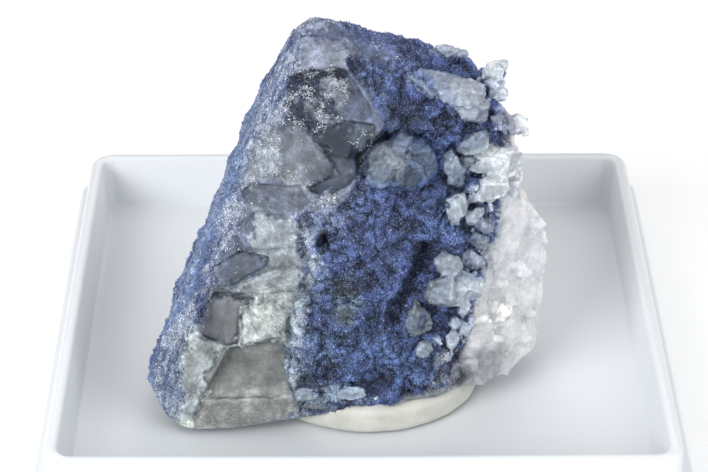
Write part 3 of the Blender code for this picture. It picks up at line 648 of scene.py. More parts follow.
def sixSided(place, direction, length, radius, tip, chance):
    # a prism with a six-faced tip for each place: six foot corners, six shoulder corners, the tip
    count = len(place)
    side = unit(np.cross(direction, unit(chance.normal(0, 1, (count, 3)))))
    other = np.cross(direction, side)
    points = np.empty((count, 13, 3))
    for n in range(6):
        angle = 2 * math.pi * n / 6
        ring = (side * math.cos(angle) + other * math.sin(angle)) * radius[:, None]
        points[:, n] = place + ring
        points[:, 6 + n] = place + ring * 0.94 + direction * (length - tip * radius)[:, None]
    points[:, 12] = place + direction * length[:, None]
    one = []
    for n in range(6):
        after = (n + 1) % 6
        one += [(n, after, 6 + after), (n, 6 + after, 6 + n), (6 + n, 6 + after, 12)]
    one += [(0, 2, 1), (0, 3, 2), (0, 4, 3), (0, 5, 4)]
    faces = (np.arange(count)[:, None, None] * 13 + np.array(one)[None]).reshape(-1, 3)
    return points.reshape(-1, 3), faces


def hollownessOf(mesh, points, normals, turns):
    # how far each point lies below (mm, less than nothing above) the skin after so many turns of smoothing
    ends = np.empty(len(mesh.edges) * 2, np.int32)
    mesh.edges.foreach_get("vertices", ends)
    a, b = ends.reshape(-1, 2).T
    count = len(points)
    neighbours = np.maximum(np.bincount(a, minlength=count) + np.bincount(b, minlength=count), 1)
    smooth = points.copy()
    for turn in range(turns):
        total = [
            np.bincount(a, smooth[b, n], count) + np.bincount(b, smooth[a, n], count) for n in range(3)
        ]
        smooth = 0.3 * smooth + 0.7 * np.stack(total, 1) / neighbours[:, None]
    return ((smooth - points) * normals).sum(1) / mm


def paint(base, colour, share):
    return base + (np.array(linear(colour)) - base) * share[:, None]


def readRock(points, normals):
    # how much of each finish every point has, and the pixel it shows at, with a little wander in its edges
    s = rockSettings
    px, py, sight = photoPixels(points)
    facing = np.clip((-(normals * sight).sum(1) + 0.05) / 0.2, 0, 1)
    rock = {"front": np.clip(facing * 4, 0, 1) * (points[:, 1] < 0.002)}
    rock["plainPx"], rock["plainPy"], rock["sight"] = px, py, sight
    coarse, fine = noiseOf(points, 1.1, 3.1), noiseOf(points, 0.35, 6.3)
    coarseY, fineY = noiseOf(points, 1.1, 7.7), noiseOf(points, 0.35, 1.9)
    for key, (wide, narrow) in (("p", s["wander"]), ("edgeP", s["edgeWander"])):
        rock[key + "x"] = px + wide * coarse + narrow * fine
        rock[key + "y"] = py + wide * coarseY + narrow * fineY
    px, py = rock["px"], rock["py"]
    side = np.clip((points[:, 0] / mm - s["druseStart"]) / 1.2, 0, 1)
    rock["druse"] = np.maximum(shareInside(px, py, druseOutline, 3), side)
    bareFoot = np.clip((-normals[:, 2] - 0.2) / 0.2, 0, 1) * np.clip((-2 - points[:, 0] / mm) / 2, 0, 1)
    depth = pixelsInside(px, py, breakOutline)
    rock["broken"] = np.clip(0.5 + depth / 6, 0, 1) * rock["front"] * (1 - rock["druse"])
    rock["strip"] = shareInside(px, py, stripOutline, 5) * rock["broken"]
    crystal = np.zeros(len(px))
    for outline, *rest in crystals.values():
        inside = pixelsInside(rock["plainPx"], rock["plainPy"], outline)
        crystal = np.maximum(crystal, np.clip(inside / 2, 0, 1) * rock["front"])
    rock["crystal"] = crystal
    bareFoot = np.maximum(bareFoot, shareInside(px, py, bareStripOutline, 1.5) * rock["front"])
    rock["bareFoot"] = bareFoot * (1 - rock["druse"])
    rock["felt"] = (1 - rock["broken"]) * (1 - rock["druse"]) * (1 - crystal) * (1 - rock["bareFoot"])
    lowDown = np.clip((py - s["fringeFrom"]) / 30, 0.1, 1)
    rock["fringe"] = np.exp(-((depth + 6) / 11) ** 2) * rock["front"] * rock["felt"] * lowDown
    rock["valley"] = 1 - np.clip(np.abs(noiseOf(points, 1.1, 13)) / 0.18, 0, 1)
    rock["lump"] = noiseOf(points, 1.5)
    return rock


def tonesOfBreak(points, rock):
    # each patch of the break hands its tone on to the bare stone beside it, and leans its streaks its way
    px, py = rock["edgePx"], rock["edgePy"]
    tone = np.zeros((len(px), 3))
    grains, glass, total, step = (np.zeros(len(px)) for n in range(4))
    lean = np.full(len(px), 20.0)
    layer = np.zeros(len(px))
    for outline, colour, patchGrains, patchGlass, patchStep, patchLean in breakPatches.values():
        share = np.exp(np.clip(pixelsInside(px, py, outline), -40, 0) / 2.5) + 1e-9
        tone += share[:, None] * np.array(linear(colour))
        grains += share * patchGrains
        glass += share * patchGlass
        total += share
    tone, grains, glass = tone / total[:, None], grains / total, glass / total
    for n, patch in enumerate(breakPatches.values(), 1):
        outline, colour, patchGrains, patchGlass, patchStep, patchLean = patch
        share = shareInside(px, py, outline, 1.0)
        step += (patchStep - step) * share
        tone = paint(tone, colour, share)
        grains += (patchGrains - grains) * share
        glass += (patchGlass - glass) * share
        lean[share > 0.5] = patchLean
        layer[share > 0.5] = n
    turn = np.radians(lean)
    across = (rock["plainPy"] * np.cos(turn) - rock["plainPx"] * np.sin(turn)) / rockSettings["pixelsPerMm"]
    along = (rock["plainPx"] * np.cos(turn) + rock["plainPy"] * np.sin(turn)) / rockSettings["pixelsPerMm"]
    across += 0.22 * noiseOf(points, 3.0, 71) + 0.04 * noiseOf(points, 0.5, 75)
    streak = np.stack([along, across, layer], 1)
    glass = glass * (1 - rock["strip"])
    return {"tone": tone, "grains": grains, "glass": glass, "step": step, "streak": streak}


def shapeRock(points, normals, rock, bare):
    # lumps and valleys stand off the skin; ledges, steps and hollows move along the line of sight
    px, py, front = rock["px"], rock["py"], rock["front"]
    felt, broken, druse = rock["felt"], rock["broken"], rock["druse"]
    s = rockSettings
    lumps = rock["lump"] + 0.5 * noiseOf(points, 0.6, 5.5) + 1.1 * noiseOf(points, 3.4, 8.8)
    height = felt * s["feltLump"] * lumps
    height -= felt * s["feltValley"] * rock["valley"]
    height += broken * (1 - bare["glass"]) * s["breakLump"] * noiseOf(points, 0.5, 9)
    height += rock["strip"] * 0.08 * noiseOf(points, 0.45, 1.5)
    height += druse * s["druseLump"] * noiseOf(points, 0.7, 2)
    crestX, crestY = s["crestAt"]
    crest = np.exp(-((rock["plainPx"] - crestX) / 24) ** 2) * np.clip((crestY - rock["plainPy"]) / 14, 0, 1)
    height = height * (1 - 0.7 * crest) + s["crestRise"] * crest * (1 - broken)
    along, across, layer = bare["streak"].T
    ridges = np.column_stack([along * 0.25, across * 1.6, layer * 7]) * mm
    ledges = noiseOf(ridges, 1.0, 17) * 4
    ledges = (np.floor(ledges) + np.clip((ledges - np.floor(ledges)) / 0.35, 0, 1)) / 4
    nearer = broken * (bare["step"] + s["breakLedge"] * ledges * (1 - 0.8 * bare["glass"]))
    for outline, tone, depth in hollows.values():
        nearer -= depth * shareInside(px, py, outline, 3) * front
    for outline, *cut, finish, tone in crystals.values():
        sink = s["underClear"] if finish == "clear" else s["underMilky"]
        nearer -= sink * shareInside(rock["plainPx"], rock["plainPy"], outline, 2) * front
    points = points + normals * (height * mm)[:, None] - rock["sight"] * (nearer * mm)[:, None]
    # teeth of the quartz end that reach past its outline in the photograph are worn back towards it
    px, py = photoPixels(points)[:2]
    past = np.clip(-pixelsInside(px, py, druseEdge), 0, 30) * (px > s["wornFrom"]) * (py < s["wornDownTo"])
    return points - np.array(viewAxes()[0]) * (s["wornBack"] * past / s["pixelsPerMm"] * mm)[:, None]


def tintRock(points, rock, breakTone, breakGrains):
    px, py, front, felt = (rock[key] for key in ("px", "py", "front", "felt"))
    s = rockSettings
    tint = np.tile(linear(s["feltTone"]), (len(points), 1))
    grains = np.full(len(points), 0.15)
    tint = paint(tint, s["backTone"], (1 - front) * felt)
    for outline, tone, share in feltPatches.values():
        mask = shareInside(px, py, outline, 6) * front * felt
        tint = paint(tint, tone, mask)
        grains += (share - grains) * mask
    cloud = noiseOf(points, 2.1, 41) + 0.5 * noiseOf(points, 0.8, 43)
    tint = paint(tint, s["feltPale"], felt * np.clip(cloud, 0, 0.7) * 0.8)
    tint = paint(tint, s["feltDark"], felt * np.clip(-cloud, 0, 0.7) * 0.8)
    # the felt's tone differs at random from clump to clump, and painted light brightens it where its lumps
    # stand highest
    clump = noiseOf(points, 0.42, 47)
    tint *= (1 + (0.2 * rock["lump"] + 0.7 * clump) * felt)[:, None]
    tint = paint(tint, s["bareTone"], rock["bareFoot"] * (1 - rock["broken"]))
    tint += (breakTone - tint) * rock["broken"][:, None]
    grains += (breakGrains - grains) * rock["broken"]
    slope = unit(np.array([s["rimSlope"]]))[0]
    drawn = points - np.outer(points @ slope, slope) * 0.65
    frost = np.clip(0.42 + 1.3 * noiseOf(drawn, 1.1, 29) + 1.3 * noiseOf(drawn, 0.4, 33), 0, 1)
    mottle = noiseOf(points, 0.9, 87) + 0.7 * noiseOf(points, 0.4, 89)
    tint *= (1 + s["mottle"] * mottle * rock["broken"] * (1 - rock["glassy"]))[:, None]
    stripTone = paint(np.tile(linear(s["stripBlue"]), (len(points), 1)), s["stripFrost"], frost)
    tint += (stripTone - tint) * (0.8 * rock["strip"])[:, None]
    grains += (0.8 - grains) * rock["strip"]
    flank = shareInside(px, py, flankOutline, 4) * rock["strip"]
    tint = paint(tint, s["flankTone"], 0.8 * flank)
    rock["flank"] = flank
    rock["frost"] = frost
    tufts = np.clip(0.7 + 1.6 * noiseOf(points, 0.8, 21), 0, 0.95)
    tint = paint(tint, s["fringeTone"], rock["fringe"] * tufts)
    tint = paint(tint, s["druseTone"], rock["druse"])
    for outline, tone in drusePatches.values():
        tint = paint(tint, tone, shareInside(px, py, outline, 6) * front * rock["druse"])
    for outline, *cut, finish, tone in crystals.values():
        mask = shareInside(rock["plainPx"], rock["plainPy"], outline, 1) * front
        tint = paint(tint, tone if finish == "milky" else s["clearBed"], mask)
    # painted shade darkens the felt in its valleys
    tint *= (1 - 0.2 * felt * rock["valley"])[:, None]
    # painted shade darkens the felt in its hollows, and painted light brightens it on its lumps
    shade = np.clip(np.exp(-s["hollowShade"] * rock["hollowness"]), 0.45, 1.6)
    tint *= (1 + (shade - 1) * felt)[:, None]
    # painted highlights along the break's edges, and a little painted shade in its creases
    edge = np.clip(-rock["edges"] / 0.030, -0.12, 1)
    tint *= (1 + s["edgeLight"] * edge * rock["broken"])[:, None]
    # painted shade fills the deep places
    for outline, tone, depth in hollows.values():
        tint = paint(tint, tone, 0.92 * shareInside(px, py, outline, 3) * front)
    return tint, grains


def setPointData(mesh, name, values):
    if name == "streak":
        data = mesh.attributes.new(name, "FLOAT_VECTOR", "POINT")
        data.data.foreach_set("vector", values.astype(np.float32).ravel())
    elif values.ndim == 2:
        data = mesh.attributes.new(name, "FLOAT_COLOR", "POINT")
        opaque = np.column_stack([values, np.ones(len(values))])
        data.data.foreach_set("color", opaque.astype(np.float32).ravel())
    else:
        data = mesh.attributes.new(name, "FLOAT", "POINT")
        data.data.foreach_set("value", values.astype(np.float32))


def stoneMaterial():
    # quartz (trigonal silica, IOR 1.544) broken by nature, with a skin of matted dumortierite needles:
    # glassy grey where it split cleanly, sugary where it crushed, velvet blue under the needles
    s = rockSettings
    material, tree, shader = newMaterial("quartzAndDumortierite", {"IOR": 1.544})
    place = addNode(tree, "ShaderNodeTexCoord").outputs["Object"]
    tint = addNode(tree, "ShaderNodeAttribute", attribute_name="tint").outputs["Color"]
    felt = addNode(tree, "ShaderNodeAttribute", attribute_name="felt").outputs["Fac"]
    glass = addNode(tree, "ShaderNodeAttribute", attribute_name="glass").outputs["Fac"]
    druse = addNode(tree, "ShaderNodeAttribute", attribute_name="druse").outputs["Fac"]
    crushed = addNode(tree, "ShaderNodeTexNoise", {
        "Vector": place, "Scale": 1 / (s["crushedGrain"] * mm), "Detail": 5.0, "Roughness": 0.75,
    })
    veins = addNode(tree, "ShaderNodeTexNoise", {
        "Vector": place, "Scale": 1 / (s["veinSize"] * mm), "Detail": 6.0, "Roughness": 0.65,
    })
    broken = addNode(tree, "ShaderNodeAttribute", attribute_name="broken").outputs["Fac"]
    flow = addNode(tree, "ShaderNodeAttribute", attribute_name="streak").outputs["Vector"]
    drawn = addNode(tree, "ShaderNodeVectorMath", {0: flow, 1: s["streaksPerMm"]},
                    operation="MULTIPLY").outputs[0]
    streaks = addNode(tree, "ShaderNodeTexNoise", {
        "Vector": drawn, "Scale": 1.0, "Detail": 5.0, "Roughness": 0.65,
    })
    blocky = addNode(tree, "ShaderNodeVectorMath", {0: flow, 1: s["blocksPerMm"]},
                     operation="MULTIPLY").outputs[0]
    bent = addNode(tree, "ShaderNodeVectorMath", {0: blocky, 1: veins.outputs["Color"]},
                   operation="ADD").outputs[0]
    facets = addNode(tree, "ShaderNodeTexVoronoi", {"Vector": bent, "Scale": 1.0}, feature="F1")
    fine = addNode(tree, "ShaderNodeValToRGB", {"Fac": crushed.outputs["Fac"]},
                   stops=[(0.30, 0.50), (0.50, 0.88), (0.62, 1.50), (0.74, 2.8)]).outputs["Color"]
    broad = addNode(tree, "ShaderNodeValToRGB", {"Fac": veins.outputs["Fac"]},
                    stops=[(0.32, 0.50), (0.50, 0.96), (0.66, 1.50)]).outputs["Color"]
    along = addNode(tree, "ShaderNodeValToRGB", {"Fac": streaks.outputs["Fac"]},
                    stops=[(0.33, 0.68), (0.50, 0.94), (0.62, 1.22), (0.72, 1.75)]).outputs["Color"]
    cell = addNode(tree, "ShaderNodeValToRGB", {"Fac": facets.outputs["Color"]},
                   stops=[(0.0, 0.72), (1.0, 1.26)]).outputs["Color"]
    grain = addNode(tree, "ShaderNodeMath", {0: along, 1: cell}, operation="MULTIPLY").outputs[0]
    streaky = addNode(tree, "ShaderNodeMapRange", {"Value": glass, "To Min": 1.0, "To Max": 0.15})
    share = addNode(tree, "ShaderNodeMath", {0: streaky.outputs["Result"], 1: broken},
                    operation="MULTIPLY").outputs[0]
    grainTone = addNode(tree, "ShaderNodeMix", {"Factor": share, "A": 1.0, "B": grain},
                        data_type="FLOAT").outputs[0]
    calm = addNode(tree, "ShaderNodeMath", {0: 1.0, 1: glass}, operation="SUBTRACT").outputs[0]
    fineShare = addNode(tree, "ShaderNodeMapRange", {"Value": calm, "To Min": 0.12, "To Max": 0.75})
    fineTone = addNode(tree, "ShaderNodeMix", {"Factor": fineShare.outputs[0], "A": 1.0, "B": fine},
                       data_type="FLOAT").outputs[0]
    tone = addNode(tree, "ShaderNodeMath", {0: fineTone, 1: broad}, operation="MULTIPLY").outputs[0]
    tone = addNode(tree, "ShaderNodeMath", {0: tone, 1: grainTone}, operation="MULTIPLY").outputs[0]
    colour = addNode(tree, "ShaderNodeVectorMath", {0: tint, "Scale": tone}, operation="SCALE").outputs[0]
    tree.links.new(colour, shader.inputs["Base Color"])
    rough = addNode(tree, "ShaderNodeMapRange", {"Value": glass, "To Min": 0.45, "To Max": 0.34})
    feltRough = addNode(tree, "ShaderNodeMix", {"Factor": felt, "A": rough.outputs["Result"], "B": 0.7},
                        data_type="FLOAT")
    tree.links.new(feltRough.outputs["Result"], shader.inputs["Roughness"])
    bumpPower = addNode(tree, "ShaderNodeMapRange", {"Value": calm, "To Min": 0.15, "To Max": 0.8})
    bump = addNode(tree, "ShaderNodeBump", {
        "Height": crushed.outputs["Fac"], "Strength": bumpPower.outputs["Result"], "Distance": 0.12 * mm,
    })
    tree.links.new(bump.outputs["Normal"], shader.inputs["Normal"])
    # the druse end is milky quartz, lit from within, with small flat faces
    small = addNode(tree, "ShaderNodeTexVoronoi", {"Vector": place, "Scale": 1 / (s["druseFace"] * mm)},
                    feature="F1")
    faceTone = addNode(tree, "ShaderNodeValToRGB", {"Fac": small.outputs["Color"]},
                       stops=[(0.0, 0.86), (1.0, 1.06)]).outputs["Color"]
    cloudTone = addNode(tree, "ShaderNodeValToRGB", {"Fac": crushed.outputs["Fac"]},
                        stops=[(0.30, 0.86), (0.50, 0.98), (0.66, 1.10)]).outputs["Color"]
    bothTones = addNode(tree, "ShaderNodeMath", {0: faceTone, 1: cloudTone},
                        operation="MULTIPLY").outputs[0]
    milkyTint = addNode(tree, "ShaderNodeVectorMath", {0: tint, "Scale": bothTones},
                        operation="SCALE").outputs[0]
    relief = addNode(tree, "ShaderNodeMath", {0: small.outputs["Distance"], 1: crushed.outputs["Fac"]},
                     operation="ADD").outputs[0]
    faces = addNode(tree, "ShaderNodeBump", {"Height": relief, "Strength": 0.45, "Distance": 0.14 * mm})
    milky = addNode(tree, "ShaderNodeBsdfPrincipled", {
        "Base Color": milkyTint, "IOR": 1.544, "Roughness": 0.20, "Normal": faces.outputs["Normal"],
        "Subsurface Weight": 0.8, "Subsurface Radius": (1.0, 0.95, 0.97), "Subsurface Scale": 1.8 * mm,
    })
    both = addNode(tree, "ShaderNodeMixShader", {
        0: druse, 1: shader.outputs["BSDF"], 2: milky.outputs["BSDF"],
    })
    tree.links.new(both.outputs["Shader"], tree.nodes["Material Output"].inputs["Surface"])
    return material


def addDruseLumps(skin):
    # six-sided crystals over the quartz end, which the remesh melts into one body with it
    s = rockSettings
    chance = np.random.RandomState(21)
    points, normals = meshArrays(skin.data)
    px, py = photoPixels(points)[:2]
    side = np.clip((points[:, 0] / mm - s["druseStart"]) / 1.2, 0, 1)
    weight = np.maximum(shareInside(px, py, druseOutline, 3) * (points[:, 1] < 0.004), side)
    points -= normals * (weight * s["druseInset"] * mm)[:, None]
    skin.data.vertices.foreach_set("co", points.ravel())
    skin.data.update()
    place, normal = scatterOn(points, skinTriangles(skin), weight, s["lumpCount"], chance)[:2]
    direction = unit(normal + chance.normal(0, 0.3, (s["lumpCount"], 3)))
    radius = chance.uniform(*s["lumpRadius"], s["lumpCount"]) ** 1.4 * mm
    place = place - normal * (radius * s["lumpSink"])[:, None]
    length = radius * chance.uniform(1.6, 2.6, s["lumpCount"])
    px, py = photoPixels(place + direction * (radius * s["lumpRise"])[:, None])[:2]
    kept = pixelsInside(px, py, druseEdge) > 1
    place, direction, length, radius = place[kept], direction[kept], length[kept], radius[kept]
    foot = place - direction * (length - radius * s["lumpRise"])[:, None]
    tips, faces = sixSided(foot, direction, length, radius, 0.6, chance)
    lumps = meshFromArrays("druseLumps", tips, faces)
    clearSelection()
    lumps.select_set(True)
    skin.select_set(True)
    bpy.context.view_layer.objects.active = skin
    bpy.ops.object.join()


def buildRockSkin():
    skin = copyOfNode("dumortierite_specimen", "rockSkin")
    solid = treeOf(skin)
    addDruseLumps(skin)
    melt = skin.modifiers.new("melt", "REMESH")
    melt.mode = "VOXEL"
    melt.voxel_size = rockSettings["voxel"] * mm
    selectOnly(skin)
    bpy.ops.object.modifier_apply(modifier=melt.name)
    points, normals = meshArrays(skin.data)
    rock = readRock(points, normals)
    bare = tonesOfBreak(points, rock)
    points = shapeRock(points, normals, rock, bare)
    skin.data.vertices.foreach_set("co", points.ravel())
    skin.data.update()
    points, normals = meshArrays(skin.data)
    rock["hollowness"] = hollownessOf(skin.data, points, normals, rockSettings["smoothTurns"])
    rock["edges"] = hollownessOf(skin.data, points, normals, rockSettings["edgeTurns"])
    rock["glassy"] = bare["glass"]
    rock["tint"], rock["grains"] = tintRock(points, rock, bare["tone"], bare["grains"])
    # painted shade in the gaps between the needles darkens the crust under the felt
    gain = 1 - (1 - rockSettings["shadeUnderFelt"]) * rock["felt"]
    gain *= 1 - 0.2 * rock["grains"] * rock["broken"]
    setPointData(skin.data, "tint", np.clip(rock["tint"] * gain[:, None], 0, 0.95))
    setPointData(skin.data, "felt", rock["felt"])
    setPointData(skin.data, "glass", bare["glass"] * rock["broken"])
    setPointData(skin.data, "broken", rock["broken"] * (1 - 0.5 * rock["strip"]))
    setPointData(skin.data, "streak", bare["streak"])
    setPointData(skin.data, "druse", rock["druse"])
    bpy.ops.object.shade_smooth()
    settle(skin, "rockSkin", stoneMaterial())
    keep(skin, "rock", "dumortierite_specimen")
    return skin, solid, rock


rockSkin, solidTree, rockData = buildRockSkin()
rockTree = treeOf(rockSkin)
print("rock skin:", len(rockSkin.data.polygons), "faces")


# Crystals of quartz in and beside the felt, each a block cut by the planes of its faces.

crystalSettings = {
    "bury": 0.9,         # mm below the crust
    "grow": 1.08,        # over the outline, which the rounding takes back
    "voxel": 0.11,       # mm
    "chips": 5,          # broken corners, fewer on the small ones
    "gain": 1.15,
    "warmth": (1.05, 1.0, 0.93),
    "faceLightAndShade": 0.32,
    "footTone": "#6E7C9C",
    "milkyBlur": 0.5,    # mm that light spreads inside
    "veilAndGlintSize": 0.45,    # mm, veils of inclusions, with painted glints where they are thickest
    "facetSize": 0.42,
    "stepSize": 0.22,    # growth steps on the faces
}


def hullOf(corners):
    # the corners of the convex outline round a set of pixels, anticlockwise
    def half(ordered):
        found = []
        for p in ordered:
            while len(found) > 1 and ((found[-1][0] - found[-2][0]) * (p[1] - found[-2][1])
                                      - (found[-1][1] - found[-2][1]) * (p[0] - found[-2][0])) <= 0:
                found.pop()
            found.append(p)
        return found[:-1]
    ordered = sorted(corners)
    return half(ordered) + half(ordered[::-1])


def depthAt(px, py):
    eye, line = sightLine(px, py)
    return solidTree.ray_cast(eye, line)[3]


def grown(outline, factor):
    middle = np.mean(outline, axis=0)
    return [tuple((middle + (np.array(corner) - middle) * factor).tolist()) for corner in outline]


def cutCrystal(outline, apex, lift, turn, slope, faces, chance):
    # a block cut by the sight lines through its outline, by the planes round its apex and by a few chips
    corners = hullOf(grown(outline, crystalSettings["grow"]))
    depths = [d for d in (depthAt(x, y) for x, y in corners + [apex]) if d]
    rim = float(np.median(depths))
    crown = min(depthAt(*apex) or rim, rim) - lift * mm
    eye, axis = sightLine(*apex)
    top = eye + axis * crown
    reach = max(math.dist(apex, corner) for corner in corners) / photoView["focal"] * rim
    size = 2 * (reach * 2 + (rim - crown) + crystalSettings["bury"] * mm)
    clearSelection()
    bpy.ops.mesh.primitive_cube_add(size=size, location=top)
    crystal = bpy.context.object
    bpy.ops.object.mode_set(mode="EDIT")
    cuts = []
    for p, q in zip(corners, corners[1:] + corners[:1]):
        side = sightLine(*p)[1].cross(sightLine(*q)[1]).normalized()
        cuts.append((eye, side if side.dot(axis) < 0 else -side))
    right, up = (Vector(v) for v in viewAxes()[:2])
    for n in range(faces):
        angle = math.radians(turn + n * 360 / faces)
        tilt = math.radians(slope)
        out = (right * math.cos(angle) + up * math.sin(angle)) * math.sin(tilt) - axis * math.cos(tilt)
        cuts.append((top, out))
    for n in range(crystalSettings["chips"] if reach > 0.7 * mm else 2):
        angle = chance.uniform(0, 2 * math.pi)
        tilt = math.radians(chance.uniform(35, 62))
        out = (right * math.cos(angle) + up * math.sin(angle)) * math.sin(tilt) - axis * math.cos(tilt)
        cuts.append((top + out * reach * chance.uniform(0.18, 0.55), out))
    cuts.append((eye + axis * (rim + crystalSettings["bury"] * mm), axis))
    for place, normal in cuts:
        bpy.ops.mesh.select_all(action="SELECT")
        bpy.ops.mesh.bisect(plane_co=place, plane_no=normal, use_fill=True, clear_outer=True)
    bpy.ops.mesh.select_all(action="SELECT")
    bpy.ops.mesh.remove_doubles(threshold=0.01 * mm)
    bpy.ops.mesh.normals_make_consistent(inside=False)
    bpy.ops.object.mode_set(mode="OBJECT")
    bpy.ops.object.transform_apply(location=True, rotation=True, scale=True)
    return crystal


def roughen(obj, finish):
    # a fine skin over the joined blocks, a little uneven, with painted light and shade that change from face
    # to face with the way each faces, and bluer at the foot
    s = crystalSettings
    melt = obj.modifiers.new("melt", "REMESH")
    melt.mode = "VOXEL"
    melt.voxel_size = s["voxel"] * mm
    selectOnly(obj)
    bpy.ops.object.modifier_apply(modifier=melt.name)
    points, normals = meshArrays(obj.data)
    px, py = photoPixels(points)[:2]
    tint, total = np.zeros((len(points), 3)), np.zeros((len(points), 1))
    for outline, *cut, kind, tone in crystals.values():
        if kind == finish:
            near = np.exp(np.clip(pixelsInside(px, py, outline), -40, 1) / 1.2)[:, None] + 1e-12
            tint += near * np.array(linear(tone))
            total += near
    tint /= total
    for outline, tone in crystalTones.values():
        tint = paint(tint, tone, shareInside(px + 2 * noiseOf(points, 0.5, 9), py, outline, 1.5))
    both = zip(normals.tolist(), points.tolist())
    # painted light and shade: each face lighter or darker by the way it faces
    faceTone = np.array([noise.noise(Vector(n) * 1.7 + Vector(p) * 300) for n, p in both])
    under = np.array([solidTree.find_nearest(Vector(p))[3] for p in points.tolist()]) / mm
    foot = np.clip(1 - under / 0.5, 0, 1)
    tint = tint * np.array(s["warmth"]) * s["gain"] * (1 + s["faceLightAndShade"] * 2 * faceTone)[:, None]
    tint = paint(tint, s["footTone"], 0.5 * foot)
    height = 0.30 * noiseOf(points, 1.1, 61) + 0.16 * noiseOf(points, 0.45, 62)
    height = height + 0.08 * noiseOf(points, 0.22, 63)
    obj.data.vertices.foreach_set("co", (points + normals * (height * mm)[:, None]).ravel())
    obj.data.update()
    setPointData(obj.data, "tint", np.clip(tint, 0, 0.95))
    bpy.ops.object.shade_smooth_by_angle(angle=math.radians(28))


def quartzMaterial(name, milky):
    # natural quartz, IOR 1.544: milky where veils of tiny inclusions scatter the light, clear grey elsewhere,
    # with painted glints where the veils are thickest
    s = crystalSettings
    material, tree, shader = newMaterial(name, {"IOR": 1.544, "Roughness": 0.28 if milky else 0.16})
    shader.inputs["Transmission Weight"].default_value = 0.10 if milky else 0.28
    if milky:
        shader.inputs["Subsurface Weight"].default_value = 0.12
        shader.inputs["Subsurface Radius"].default_value = (1.0, 1.0, 1.0)
        shader.inputs["Subsurface Scale"].default_value = s["milkyBlur"] * mm
    place = addNode(tree, "ShaderNodeTexCoord").outputs["Object"]
    tint = addNode(tree, "ShaderNodeAttribute", attribute_name="tint").outputs["Color"]
    veilsAndGlints = addNode(tree, "ShaderNodeTexNoise", {
        "Vector": place, "Scale": 1 / (s["veilAndGlintSize"] * mm), "Detail": 6.0, "Roughness": 0.7,
    })
    # the top of this ramp paints bright glints; the rest is the tone of the veils
    tone = addNode(tree, "ShaderNodeValToRGB", {"Fac": veilsAndGlints.outputs["Fac"]},
                   stops=[(0.32, 0.74), (0.50, 0.98), (0.62, 1.22), (0.68, 2.2)]).outputs["Color"]
    facets = addNode(tree, "ShaderNodeTexVoronoi", {"Vector": place, "Scale": 1 / (s["facetSize"] * mm)},
                     feature="F1")
    facetTone = addNode(tree, "ShaderNodeValToRGB", {"Fac": facets.outputs["Color"]},
                        stops=[(0.1, 0.88), (0.9, 1.16)]).outputs["Color"]
    tone = addNode(tree, "ShaderNodeMath", {0: tone, 1: facetTone}, operation="MULTIPLY").outputs[0]
    colour = addNode(tree, "ShaderNodeVectorMath", {0: tint, "Scale": tone}, operation="SCALE").outputs[0]
    tree.links.new(colour, shader.inputs["Base Color"])
    steps = addNode(tree, "ShaderNodeTexNoise", {
        "Vector": place, "Scale": 1 / (s["stepSize"] * mm), "Detail": 5.0, "Roughness": 0.7,
    })
    bump = addNode(tree, "ShaderNodeBump", {
        "Height": steps.outputs["Fac"], "Strength": 0.6, "Distance": 0.12 * mm,
    })
    tree.links.new(bump.outputs["Normal"], shader.inputs["Normal"])
    return material


def buildCrystals():
    for finish, name, material in (
        ("milky", "milkyCrystals", quartzMaterial("milkyQuartz", True)),
        ("clear", "clearCrystals", quartzMaterial("clearQuartz", False)),
    ):
        chance = np.random.RandomState(17)
        made = [cutCrystal(*cut, chance) for *cut, kind, tone in crystals.values() if kind == finish]
        clearSelection()
        for crystal in made:
            crystal.select_set(True)
        bpy.context.view_layer.objects.active = made[0]
        bpy.ops.object.join()
        joined = bpy.context.object
        roughen(joined, finish)
        settle(joined, name, material)
        keep(joined, "rock")
        print(name, len(joined.data.polygons), "faces")


buildCrystals()


# Needles: short spikes of dumortierite in a mat over the crust, each a thin three-sided spire.

needleSettings = {
    "perPiece": 47000,
    "upperFrom": 18,                 # mm above the table, where the upper mat begins
    "feltLength": (0.10, 0.34),      # mm
    "stripLength": (0.14, 0.40),
    "halfWidth": (0.030, 0.060),     # mm, coarser than real fibres so that they show
    "sink": 0.05,
    "footCount": 16000,
    "footEnd": 482,                  # photograph pixel where the felt gives way to quartz
    "footTone": "#4C5C86",
    "toneSpread": 0.75,
    "litTone": "#8C9AB8",            # painted silky glint on the brightest
    "paleShare": 0.10,
    "paleTone": "#AAB5CC",
    "hue": (0.97, 1.0, 1.04),
}


def needleMaterial():
    # dumortierite (aluminium borosilicate, IOR about 1.68) in fibres: deep blue with a silky glint
    material, tree, shader = newMaterial("dumortieriteNeedles", {"IOR": 1.68, "Roughness": 0.45})
    shader.inputs["Specular IOR Level"].default_value = 0.3
    tint = addNode(tree, "ShaderNodeAttribute", attribute_name="tint").outputs["Color"]
    tree.links.new(tint, shader.inputs["Base Color"])
    return material


